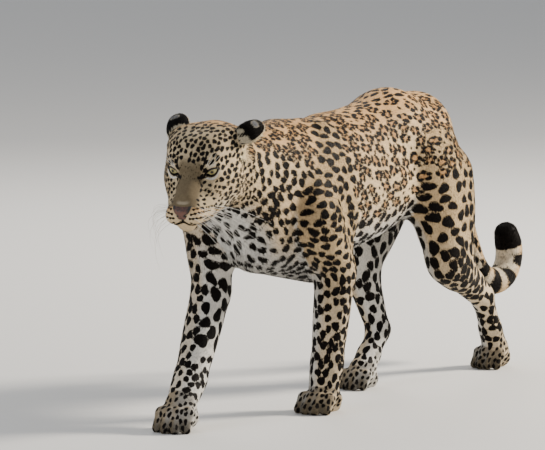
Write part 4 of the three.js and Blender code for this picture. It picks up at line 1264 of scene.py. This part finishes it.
def realised(name, mesh, group, inputs):
    """Runs a growth over a mesh once and keeps what it makes as a plain mesh."""
    bed = placed(name + "_roots", mesh)
    growth = bed.modifiers.new("growth", "NODES")
    growth.node_group = group
    sockets = {s.name: s.identifier for s in group.interface.items_tree if s.in_out == "INPUT"}
    for title, value in inputs.items():
        growth[sockets[title]] = value
    full = bpy.data.meshes.new_from_object(bed.evaluated_get(bpy.context.evaluated_depsgraph_get()))
    full.name = name
    bpy.data.objects.remove(bed)
    return full


def grown(name, roots, fields, material):
    """Grows one lock of hair at each root and keeps the result as a plain mesh."""
    mesh = bpy.data.meshes.new(name)
    mesh.from_pydata(roots, [], [])
    keep_on(mesh, **fields)
    full = realised(name, mesh, coat_blades, {"Lock material": material})
    full.shade_smooth()
    spots = np.zeros(len(full.vertices) * 3, np.float32)
    full.vertices.foreach_get("co", spots)
    spots[2::3] = np.maximum(spots[2::3], ABOVE_FLOOR)
    full.vertices.foreach_set("co", spots)
    return placed(name, full, material)


EVEN_STEPS = (0.7548777, 0.5698403)
MOST_LOCKS = 48000


def sown(points, faces, spacing, chance):
    """Roots spread evenly over the faces: which face, and where in it."""
    a, b, c = (points[faces[:, i]] for i in range(3))
    area = np.linalg.norm(np.cross(b - a, c - a), axis=1) / 2
    gap = spacing(points)[faces].mean(axis=1)
    due = np.cumsum(area / gap ** 2)
    count = np.diff(np.floor(np.concatenate([[0], due]))).astype(int)
    face = np.repeat(np.arange(len(faces)), count)
    n = np.arange(len(face))
    u = (n * EVEN_STEPS[0] + chance.uniform(0, 0.25, len(n))) % 1
    v = (n * EVEN_STEPS[1] + chance.uniform(0, 0.25, len(n))) % 1
    over = u + v > 1
    u[over], v[over] = 1 - u[over], 1 - v[over]
    return face, np.stack([1 - u - v, u, v], axis=1)


def lock_spacing(points):
    """Locks stand closer on the face and paws than on the body, in metres."""
    low = ramp(-points[:, 2], -0.16, -0.06)
    gap = np.where(on_skull(points, -90), 0.0021, 0.0029 - 0.0005 * low)
    return np.where(near_face(points, FACE_REACH), 0.0017, gap) * 1.0


face, share = sown(skin_points, skin_faces, lock_spacing, rng)
corners = skin_faces[face]


def within(values, corners, share):
    """Values inside triangles, from those at their corners."""
    return (values[corners] * (share[..., None] if values.ndim > 1 else share)).sum(axis=1)


roots = within(skin_points, corners, share)
root_normals = unit_rows(within(skin_normals, corners, share))
root_parts = skin_parts[corners[:, 0]]
root_fur = within(skin_fur, corners, share)
x, y, z = head_place(roots).T
bare = (np.abs(x) < 17) & (y > 88) & (z > -48) & (z < -22)
for side in (1, -1):
    bare |= lid_opening(roots, side)[0] > -1.3
bare |= roots[:, 2] < 0.004
roots, root_normals, root_parts, root_fur = (
    values[~bare] for values in (roots, root_normals, root_parts, root_fur))
lies = flattened(hair_on(roots)[0], root_normals)
belly = ramp(-root_normals[:, 2], 0.2, 0.8) * (root_parts == "trunk")
ear_bed = [np.linalg.norm((head_place(roots) - [side * 88, -104, 0]) / [30, 36, 26], axis=1)
           for side in (1, -1)]
ear_bed = ramp(-np.minimum(*ear_bed), -1.0, -0.5)
length = root_fur * (1 + 0.4 * belly + 1.6 * ear_bed) * rng.uniform(0.75, 1.2, len(roots))
lift = np.where(np.isin(root_parts, ["head", "paw"]), 0.2, 0.17)
lift = lift + rng.uniform(-0.07, 0.1, len(roots))
swing = np.cross(root_normals, lies) * rng.normal(0, 0.16, len(roots))[:, None]
pointing = unit_rows(lies + swing + root_normals * lift[:, None])
along = lies * length[:, None]
ground, half_black, tawny = markings_on(roots + along * 0.5, root_normals, root_parts)
_, tip_black, _ = markings_on(roots + along, root_normals, root_parts)
black_gain = np.clip((tip_black - half_black) * 2, -8, 8) * ramp(length, 0.003, 0.006)
gap = lock_spacing(roots)
size = np.stack([length, gap * rng.uniform(1.0, 1.5, len(roots)), gap * 0.42], axis=1)
hide = hide_place(roots, root_parts)
fields = dict(ground=ground, black=tip_black - black_gain, black_gain=black_gain, tawny=tawny,
              strand=rng.uniform(0, 1, len(roots)), lie=pointing, upright=root_normals, size=size,
              hide=np.concatenate([hide, np.zeros((len(hide), 1))], axis=1))
lock_hair = hair_material("locks of the coat", 0.9, 0.25)
regions = {"trunk": ["trunk"], "neck": ["neck"], "head": ["head"], "tail": ["tail"],
           "legs": LEG_PARTS}
for region, names in regions.items():
    own = np.flatnonzero(np.isin(root_parts, names))
    own = own[np.argsort(roots[own, 0], kind="stable")]
    pieces = max(1, math.ceil(len(own) / MOST_LOCKS))
    for k, some in enumerate(np.array_split(own, pieces)):
        coat = grown(f"coat_{region}_{k + 1}", roots[some] - root_normals[some] * 0.0006,
                     {title: values[some] for title, values in fields.items()}, lock_hair)
        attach(coat, "root")


# The eyes. Clear wet globes with a pale yellow-olive iris, finely streaked, a small round
# pupil and a dark line round the iris, set in their sockets behind the lids.

def globe(centre, gaze, radius, rings=40, turns=56):
    """A ball with a low swell at the front, as points, faces and the angle from its front."""
    first = unit(np.cross(gaze, UPWARDS))
    second = np.cross(first, gaze)
    angles = np.linspace(0, math.pi, rings + 1)[1:-1]
    swell = radius * (1 + 0.05 * np.exp(-(angles / 0.5) ** 2))
    ring = [centre + gaze * radius * 1.05]
    for angle, far in zip(angles, swell):
        turn = np.linspace(0, 2 * math.pi, turns, endpoint=False)
        ring += list(centre + far * (math.cos(angle) * gaze + math.sin(angle) * (
            np.cos(turn)[:, None] * first + np.sin(turn)[:, None] * second)))
    ring.append(centre - gaze * radius)
    faces = []
    for k in range(turns):
        n = (k + 1) % turns
        faces.append((0, 1 + k, 1 + n))
        for row in range(rings - 2):
            a = 1 + row * turns
            faces.append((a + k, a + turns + k, a + turns + n, a + n))
        last = 1 + (rings - 2) * turns
        faces.append((last + k, len(ring) - 1, last + n))
    return np.array(ring), faces, np.concatenate([[0], np.repeat(angles, turns), [math.pi]])


iris, tree, shader = new_material("wet eye", {
    "Roughness": 0.12, "Specular IOR Level": 0.25, "Coat Weight": 0.25, "Coat Roughness": 0.04})
angle = step(tree, "ShaderNodeAttribute", attribute_name="angle").outputs["Fac"]
spoke = step(tree, "ShaderNodeAttribute", attribute_name="spoke").outputs["Vector"]
streaks = step(tree, "ShaderNodeTexNoise", {"Vector": spoke, "Scale": 9.0, "Detail": 3.0})
bands = step(tree, "ShaderNodeValToRGB", {"Fac": angle})
stops = ((0.0, (10, 9, 8)), (0.15, (14, 12, 9)), (0.18, (122, 110, 66)), (0.42, (186, 176, 124)),
         (0.74, (172, 160, 108)), (0.84, (84, 74, 48)), (0.9, (26, 21, 15)), (1.0, (40, 30, 24)))
while len(bands.color_ramp.elements) < len(stops):
    bands.color_ramp.elements.new(0.5)
for element, (place, rgb) in zip(bands.color_ramp.elements, stops):
    element.position = place
    element.color = colour4(paint(*rgb))
fibre = step(tree, "ShaderNodeMapRange", {"Value": streaks.outputs["Fac"], "From Min": 0.3,
                                          "From Max": 0.7, "To Min": 0.72, "To Max": 1.2})
iris_colour = step(tree, "ShaderNodeHueSaturation", {"Color": bands.outputs["Color"],
                                                     "Value": fibre.outputs[0]})
tree.links.new(iris_colour.outputs[0], shader.inputs["Base Color"])
for side, node in ((1, "eye_left"), (-1, "eye_right")):
    _, _, gaze = eye_frame(side)
    points, faces, angles = globe(EYES[side], gaze, EYE_RADIUS / 1000)
    mesh = smooth_mesh(node, points, faces)
    spokes = (points - EYES[side]) / (EYE_RADIUS / 1000)
    spokes = spokes - (spokes @ gaze)[:, None] * gaze
    spokes = spokes / np.maximum(np.linalg.norm(spokes, axis=1), 0.05)[:, None]
    keep_on(mesh, angle=angles, spoke=spokes)
    eye = placed("globe_" + node, mesh, iris)
    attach(eye, "root")
    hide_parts(node)


# The rims of the lids. Bare black skin, moist at its edge, drawn tight round each eye.

rim_skin, tree, shader = new_material("moist rim of the lid", {"Coat Weight": 0.25})
place = step(tree, "ShaderNodeTexCoord").outputs["Object"]
mottle = step(tree, "ShaderNodeTexNoise", {"Vector": place, "Scale": 500.0, "Detail": 3.0})
tone = mixed(tree, mottle.outputs["Fac"], colour4(paint(20, 15, 12)), colour4(paint(52, 38, 30)))
tree.links.new(tone, shader.inputs["Base Color"])
sheen = step(tree, "ShaderNodeMapRange", {"Value": mottle.outputs["Fac"], "To Min": 0.28, "To Max": 0.55})
tree.links.new(sheen.outputs[0], shader.inputs["Roughness"])
raised(tree, shader, mottle.outputs["Fac"], 0.3, 0.0004)


def rod(line, radii, sides=8, closed=False):
    """A round tube of changing thickness along a line of points."""
    line = np.array(line)
    ahead = np.roll(line, -1, axis=0) - np.roll(line, 1, axis=0)
    if not closed:
        ahead[0], ahead[-1] = line[1] - line[0], line[-1] - line[-2]
    ahead = unit_rows(ahead)
    points = []
    upright = np.cross(ahead[0], [0.31, 0.57, 0.76])
    for spot, run, radius in zip(line, ahead, radii):
        upright = unit(upright - (upright @ run) * run)
        beside = np.cross(run, upright)
        for k in range(sides):
            turn = 2 * math.pi * k / sides
            points.append(spot + radius * (math.cos(turn) * upright + math.sin(turn) * beside))
    faces = []
    n = len(line)
    for i in range(n if closed else n - 1):
        j = (i + 1) % n
        for k in range(sides):
            m = (k + 1) % sides
            faces.append((i * sides + k, i * sides + m, j * sides + m, j * sides + k))
    if not closed:
        faces.append(tuple(range(sides))[::-1])
        faces.append(tuple((n - 1) * sides + k for k in range(sides)))
    return np.array(points), faces


RIM_OUT_OF_EYE = 0.9
for side, name in ((1, "lid_rim_left"), (-1, "lid_rim_right")):
    out, up, gaze = eye_frame(side)
    turns = np.linspace(0, 2 * math.pi, 72, endpoint=False)
    x = LID_HALF_WIDTH * np.cos(turns)
    y = np.where(turns < math.pi, *lid_edges(x))
    z = np.sqrt(np.maximum((EYE_RADIUS + RIM_OUT_OF_EYE) ** 2 - x * x - y * y, 1))
    edge_line = EYES[side] + np.stack([x, y, z], axis=1) @ np.stack([out, up, gaze]) / 1000
    girth = 0.0009 + 0.0005 * np.clip(np.sin(turns), 0, 1)
    points, faces = rod(edge_line, girth, closed=True)
    rim = placed(name, smooth_mesh(name, points, faces), rim_skin)
    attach(rim, "root")


# The nose. Bare pebbled leather, pink-brown with dark edges, with a comma of a nostril on
# each side and a cleft down its middle.

nose_turn = np.stack([unit(head_way(*v)) for v in ((1, 0, 0), (0, 0.22, 0.975), (0, 0.975, -0.22))],
                     axis=1)
NOSE_AT = on_head(0, 96, -41)


def nose_depth(across, up, out):
    """Distance outside the leather, in millimetres, in the nose's own frame."""
    half = 19.5 - 0.62 * np.clip(9 - up, 0, 20)
    wing = np.maximum(np.abs(across) - half, 0)
    tall = np.maximum(np.abs(up + 1) - 9.5, 0)
    front = 15.5 - 0.028 * across ** 2 - 0.05 * np.clip(up - 2, 0, 20) ** 2
    deep = np.maximum(out - front, 0) + np.maximum(-8 - out, 0)
    body = np.sqrt(wing ** 2 + tall ** 2 + deep ** 2) - 1.6
    hollow = np.full_like(body, 99.0)
    for side in (1, -1):
        x = across * side
        for beside, below, ahead, wide, tall, size in (
                (10.0, 2.2, 14, 1.25, 0.85, 2.7), (15.5, 1.0, 10, 1.5, 0.55, 2.4)):
            off = ((x - beside) / wide) ** 2 + ((up + below) / tall) ** 2 + ((out - ahead) / 2.4) ** 2
            hollow = np.minimum(hollow, np.sqrt(off) - size)
    cleft = np.sqrt((across / 0.55) ** 2 + ((out - 17.5) / 1.4) ** 2) - 1.7
    return np.maximum(body, -np.minimum(hollow, np.where(up < 1, cleft, 99)))


NOSE_CELL = 0.8
across, up, out = (np.arange(low, high + 0.01, NOSE_CELL) for low, high in ((-22, 22), (-15, 13), (-12, 20)))
nose_grid = nose_depth(across[:, None, None], up[None, :, None], out[None, None, :])
nose_points, nose_faces = surface_of(nose_grid, np.array([-22.0, -15.0, -12.0]), NOSE_CELL)
for _ in range(2):
    edges = np.concatenate([nose_faces[:, [0, 1]], nose_faces[:, [1, 2]], nose_faces[:, [2, 0]]])
    total = np.stack([np.bincount(edges[:, 0], nose_points[edges[:, 1], i], len(nose_points))
                      for i in range(3)], axis=1)
    nose_points = 0.5 * nose_points + 0.5 * total / np.bincount(edges[:, 0])[:, None]
local = nose_points.copy()
nose_points = NOSE_AT + local / 1000 @ nose_turn.T
leather, tree, shader = new_material("nose leather", {"Coat Weight": 0.15})
edge_read = step(tree, "ShaderNodeAttribute", attribute_name="edge").outputs["Fac"]
place = step(tree, "ShaderNodeTexCoord").outputs["Object"]
pebble = step(tree, "ShaderNodeTexVoronoi", {"Vector": place, "Scale": 900.0})
blotch = step(tree, "ShaderNodeTexNoise", {"Vector": place, "Scale": 160.0, "Detail": 3.0})
shade_in = step(tree, "ShaderNodeMath", {0: edge_read, 1: blotch.outputs["Fac"]}, operation="ADD")
dark = step(tree, "ShaderNodeMapRange", {"Value": shade_in.outputs[0], "From Min": 0.62,
                                         "From Max": 1.05})
tone = mixed(tree, dark.outputs[0], colour4(paint(98, 60, 48)), colour4(paint(18, 14, 12)))
tree.links.new(tone, shader.inputs["Base Color"])
sheen = step(tree, "ShaderNodeMapRange", {"Value": blotch.outputs["Fac"], "To Min": 0.34, "To Max": 0.6})
tree.links.new(sheen.outputs[0], shader.inputs["Roughness"])
raised(tree, shader, pebble.outputs["Distance"], 0.5, 0.0005, invert=True)
mesh = smooth_mesh("nose_leather", nose_points, nose_faces)
beside, over = np.abs(local[:, 0]), local[:, 1]
rim_share = np.clip(np.maximum(beside / 19, np.maximum(over - 4, -over - 3) / 9), 0, 1)
hole_share = np.clip(1.6 - np.hypot((beside - 11) / 5, (over + 2) / 3.6), 0, 1)
keep_on(mesh, edge=np.maximum(rim_share ** 3, hole_share))
nose = placed("nose_leather", mesh, leather)
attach(nose, "root")
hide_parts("nose")


# The ears. Short round cups of gristle and skin, black behind with a pale patch below the
# tip, rimmed in pale hair and filled with long pale hair from the inner edge, the inner hair
# brightened further as painted glow.

EARS = {
    1: dict(root=on_head(73, -93, 40), tip=head_way(0.72, -0.62, 0.3), back=head_way(0.05, 0.4, 0.9)),
    -1: dict(root=on_head(-60, -94, 41), tip=head_way(-0.34, -0.86, 0.36),
             back=head_way(-0.2, 0.5, 0.85)),
}
EAR_HALF_WIDTH, EAR_HALF_LENGTH, EAR_DEPTH, EAR_THICKNESS = 0.0275, 0.0375, 0.0172, 0.0026


def ear_cup(root, tip, back, rows=18, turns=26):
    """A cup open away from its back: outer wall, inner wall and rim, as one closed shell."""
    tip = unit(tip)
    back = unit(back - (back @ tip) * tip)
    beside = np.cross(tip, back)
    centre = root + tip * EAR_HALF_LENGTH * 0.75
    points, faces, run = [], [], []
    for wall, grow in ((0, 0.0), (1, -EAR_THICKNESS)):
        for i in range(rows + 1):
            turn = math.pi * (0.04 + 0.92 * i / rows)
            along = -math.cos(turn) * (EAR_HALF_LENGTH + grow)
            girth = math.sin(turn) ** 0.8
            for k in range(turns + 1):
                angle = math.pi * k / turns
                wide = math.cos(angle) * (EAR_HALF_WIDTH + grow) * girth
                deep = math.sin(angle) * (EAR_DEPTH + grow) * girth - 0.001
                points.append(centre + tip * along + beside * wide + back * deep)
                run.append((i / rows, abs(2 * k / turns - 1), wall))
    span = turns + 1
    wall_size = (rows + 1) * span
    for i in range(rows):
        for k in range(turns):
            a = i * span + k
            faces.append((a, a + span, a + span + 1, a + 1))
            b = a + wall_size
            faces.append((b, b + 1, b + span + 1, b + span))
    sides = [(i * span + k, span, k == 0) for i in range(rows) for k in (0, turns)]
    ends = [(i * span + k, 1, i == 0) for k in range(turns) for i in (0, rows)]
    for a, next_one, turned in sides + ends:
        ring = (a, a + wall_size, a + wall_size + next_one, a + next_one)
        faces.append(ring[::-1] if turned else ring)
    return np.array(points), faces, np.array(run), tip, back


EAR_GREY = paint(134, 137, 143)
ear_hair = hair_material("hair of the ears", 0.9, 0.3)
# The skin of the ears carries a fixed painted shade (root 0.6).
ear_skin = hair_material("skin of the ears", 0.9, 0.3, root=0.6)
for side, name in ((1, "left"), (-1, "right")):
    points, faces, run, tip, back = ear_cup(**EARS[side])
    work = bpy.data.meshes.new("ear")
    work.from_pydata(points, [], faces)
    work.update()
    normals = np.zeros((len(points), 3))
    for polygon in work.polygons:
        for v in polygon.vertices:
            normals[v] += polygon.normal
    normals = unit_rows(normals)
    outside = (normals @ back > 0) == (run[:, 2] == 0)
    if outside.mean() < 0.5:
        faces = [f[::-1] for f in faces]
        normals = -normals
    mesh = smooth_mesh("ear_" + name, points, faces)
    up, off, wall = run.T
    patch = ramp(-np.hypot((up - 0.7) / 0.08, (off - 0.1) / 0.27), -1.2, -0.4) * (wall == 0)
    edge_pale = ramp(off, 0.86, 0.98) * 0.9 + ramp(up, 0.95, 1.0)
    # The inside of the cup takes the pale ear hair with its painted glow.
    ground = blend(CREAM, PALE_EAR_HAIR_AND_GLOW, np.where(wall == 1, 0.9, 0.15))
    ground = blend(ground, EAR_GREY, patch)
    spots = np.sin(points @ [820, 610, 350]) + np.sin(points @ [-430, 760, 690])
    black_end = ramp(up, 0.36, 0.48)
    dark = (-1.5 + 3.2 * spots) * (1 - black_end) + 4.0 * black_end
    dark = np.where(wall == 0, dark - 12 * np.maximum(patch, np.clip(edge_pale, 0, 1)), -6)
    keep_on(mesh, ground=ground, black=dark, tawny=np.zeros(len(points)),
            strand=np.full(len(points), 0.4))
    ear = placed("cup_of_ear_" + name, mesh, ear_skin)
    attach(ear, "root")
    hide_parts("ear_" + name)
    tris = np.array([t for f in faces for t in ((f[0], f[1], f[2]), (f[0], f[2], f[3]))])
    grow_at, where_in = sown(points, tris, lambda p: np.full(len(p), 0.0017), rng)
    picks = tris[grow_at]
    at_root, out_of, of_run, fade, tone = (
        within(values, picks, where_in) for values in (points, normals, run, dark, ground))
    out_of = unit_rows(out_of)
    inner = of_run[:, 2] > 0.5
    trend = np.where(inner[:, None], tip * 0.5 - back * 0.9, tip[None, :] * 1.0)
    lie = np.where(inner[:, None], trend + out_of * 0.3, flattened(trend, out_of) + out_of * 0.2)
    lie = unit_rows(lie + rng.normal(0, 0.14, lie.shape))
    shaggy = inner & (of_run[:, 0] < 0.7)
    long = np.where(shaggy, 0.021, np.where(inner, 0.009, 0.005)) * rng.uniform(0.7, 1.2, len(lie))
    # The inner locks take the pale ear hair with its painted glow.
    tone = np.where(inner[:, None], PALE_EAR_HAIR_AND_GLOW * rng.uniform(0.8, 1.1, len(lie))[:, None], tone)
    none = np.zeros(len(lie))
    flat_at = np.stack([0.62 + 0.1 * of_run[:, 0], 0.88 + 0.05 * (of_run[:, 1] + of_run[:, 2]), none],
                       axis=1)
    fields = dict(ground=tone, black=fade, black_gain=none, tawny=none,
                  strand=rng.uniform(0, 1, len(lie)), lie=lie, upright=out_of, hide=flat_at,
                  size=np.stack([long, none + 0.0022, none + 0.0007], axis=1))
    hair = grown("hair_of_ear_" + name, at_root, fields, ear_hair)
    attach(hair, "root")


# The whiskers. Long stiff white bristles from the rows of dark dots on the lip, swept down
# and back, with a few above each eye.

whisker_tree = bpy.data.node_groups.new("whiskers", "GeometryNodeTree")
for title, kind in (("Geometry", "Geometry"), ("Thickness", "Float"), ("Bristle material", "Material")):
    whisker_tree.interface.new_socket(title, in_out="INPUT", socket_type="NodeSocket" + kind)
whisker_tree.interface.new_socket("Geometry", in_out="OUTPUT", socket_type="NodeSocketGeometry")
drawn = partial(step, whisker_tree)
given = drawn("NodeGroupInput").outputs
lines = drawn("GeometryNodeMeshToCurve", {"Mesh": given["Geometry"]}).outputs[0]
girth = drawn("ShaderNodeMath", {0: named(whisker_tree, "taper", "FLOAT"), 1: given["Thickness"]},
              operation="MULTIPLY").outputs[0]
lines = drawn("GeometryNodeSetCurveRadius", {"Curve": lines, "Radius": girth}).outputs[0]
round_edge = drawn("GeometryNodeCurvePrimitiveCircle", {"Resolution": 5, "Radius": 1.0}).outputs[0]
bristles = drawn("GeometryNodeCurveToMesh", {
    "Curve": lines, "Profile Curve": round_edge, "Scale": girth, "Fill Caps": True}).outputs[0]
real = drawn("GeometryNodeRealizeInstances", {"Geometry": bristles}).outputs[0]
real = drawn("GeometryNodeSetMaterial", {
    "Geometry": real, "Material": given["Bristle material"]}).outputs[0]
drawn("NodeGroupOutput", {"Geometry": real})

bristle, tree, shader = new_material("white bristle", {"Roughness": 0.35})
place = step(tree, "ShaderNodeTexCoord").outputs["Object"]
streak = step(tree, "ShaderNodeTexNoise", {"Vector": place, "Scale": 60.0})
tone = mixed(tree, streak.outputs["Fac"], colour4(paint(250, 248, 242)), colour4(paint(214, 206, 192)))
tree.links.new(tone, shader.inputs["Base Color"])

WHISKER_THICKNESS = 0.00048
BROW_HAIR = 0.045
whisker_points, whisker_edges, tapers = [], [], []


def add_bristle(line, taper):
    first = len(whisker_points)
    whisker_points.extend(line)
    tapers.extend(taper)
    whisker_edges.extend((first + i, first + i + 1) for i in range(len(line) - 1))


for side in (1, -1):
    for row, (stops, count) in enumerate(WHISKER_ROWS):
        line = laid_line(stops, side) / 1000
        for k, start in enumerate(line[np.linspace(3, 14, count - 4 + row % 2).astype(int)]):
            reach = (0.092 + 0.011 * k + 0.004 * row) * rng.uniform(0.8, 1.12)
            out = unit(head_way(side * 0.8, 0.34 - 0.09 * k, 0.02 - 0.12 * row))
            swept = shift(0, -880 - 50 * k, -470 - 130 * row) * 0.8
            t = np.linspace(0, 1, 13)[:, None]
            add_bristle(start + (out * t * (1 - 0.35 * t) + swept * t * t) * reach, 1.1 - 0.9 * t[:, 0])
    for k in range(3):
        start = on_head(side * (30 + 6 * k), 8, 24)
        start = drawn_to_surface(start[None, :], passes=5, most=0.02)[0]
        out = head_way(side * (0.35 + 0.2 * k), 0.15, 0.8)
        t = np.linspace(0, 1, 9)[:, None]
        line = start + out * t * BROW_HAIR + head_way(side * 0.1, -0.5, 0) * t * t * 0.03
        add_bristle(line, 0.8 - 0.65 * t[:, 0])
mesh = bpy.data.meshes.new("whiskers")
mesh.from_pydata(whisker_points, whisker_edges, [])
keep_on(mesh, taper=np.array(tapers))
full = realised("whiskers", mesh, whisker_tree, {
    "Thickness": WHISKER_THICKNESS, "Bristle material": bristle})
whiskers = placed("whiskers", full, bristle)
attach(whiskers, "root")


# The studio. A plain pale floor and large soft lamps, the warm one high on the right and
# behind, as the low sun stood in the photograph.

floor_mesh = bpy.data.meshes.new("floor")
floor_mesh.from_pydata([(-60, -60, 0), (60, -60, 0), (60, 60, 0), (-60, 60, 0)], [], [(0, 1, 2, 3)])
pale, _, _ = new_material("pale floor", {"Base Color": (0.62, 0.61, 0.59, 1), "Roughness": 0.9})
floor = placed("floor", floor_mesh, pale)
world = bpy.data.worlds.new("soft room")
world.use_nodes = True
world.node_tree.nodes["Background"].inputs["Color"].default_value = (0.92, 0.95, 1.0, 1)
world.node_tree.nodes["Background"].inputs["Strength"].default_value = 0.6
bpy.context.scene.world = world
for name, spot, power, size, colour in (
        ("sun_side", (3.7, 4.2, 3.4), 1050, 1.2, (1.0, 0.92, 0.80)),
        ("front_fill", (-2.4, -5.5, 3.0), 125, 3.0, (0.95, 0.97, 1.0)),
        ("rim", (-2.5, 3.5, 3.2), 90, 2.0, (1.0, 0.97, 0.92))):
    data = bpy.data.lights.new(name, "AREA")
    data.energy = power
    data.size = size
    data.color = colour
    lamp = bpy.data.objects.new(name, data)
    lamp.location = spot
    lamp.rotation_euler = (Vector((0, 0, 0.35)) - Vector(spot)).to_track_quat("-Z", "Y").to_euler()
    bpy.context.collection.objects.link(lamp)
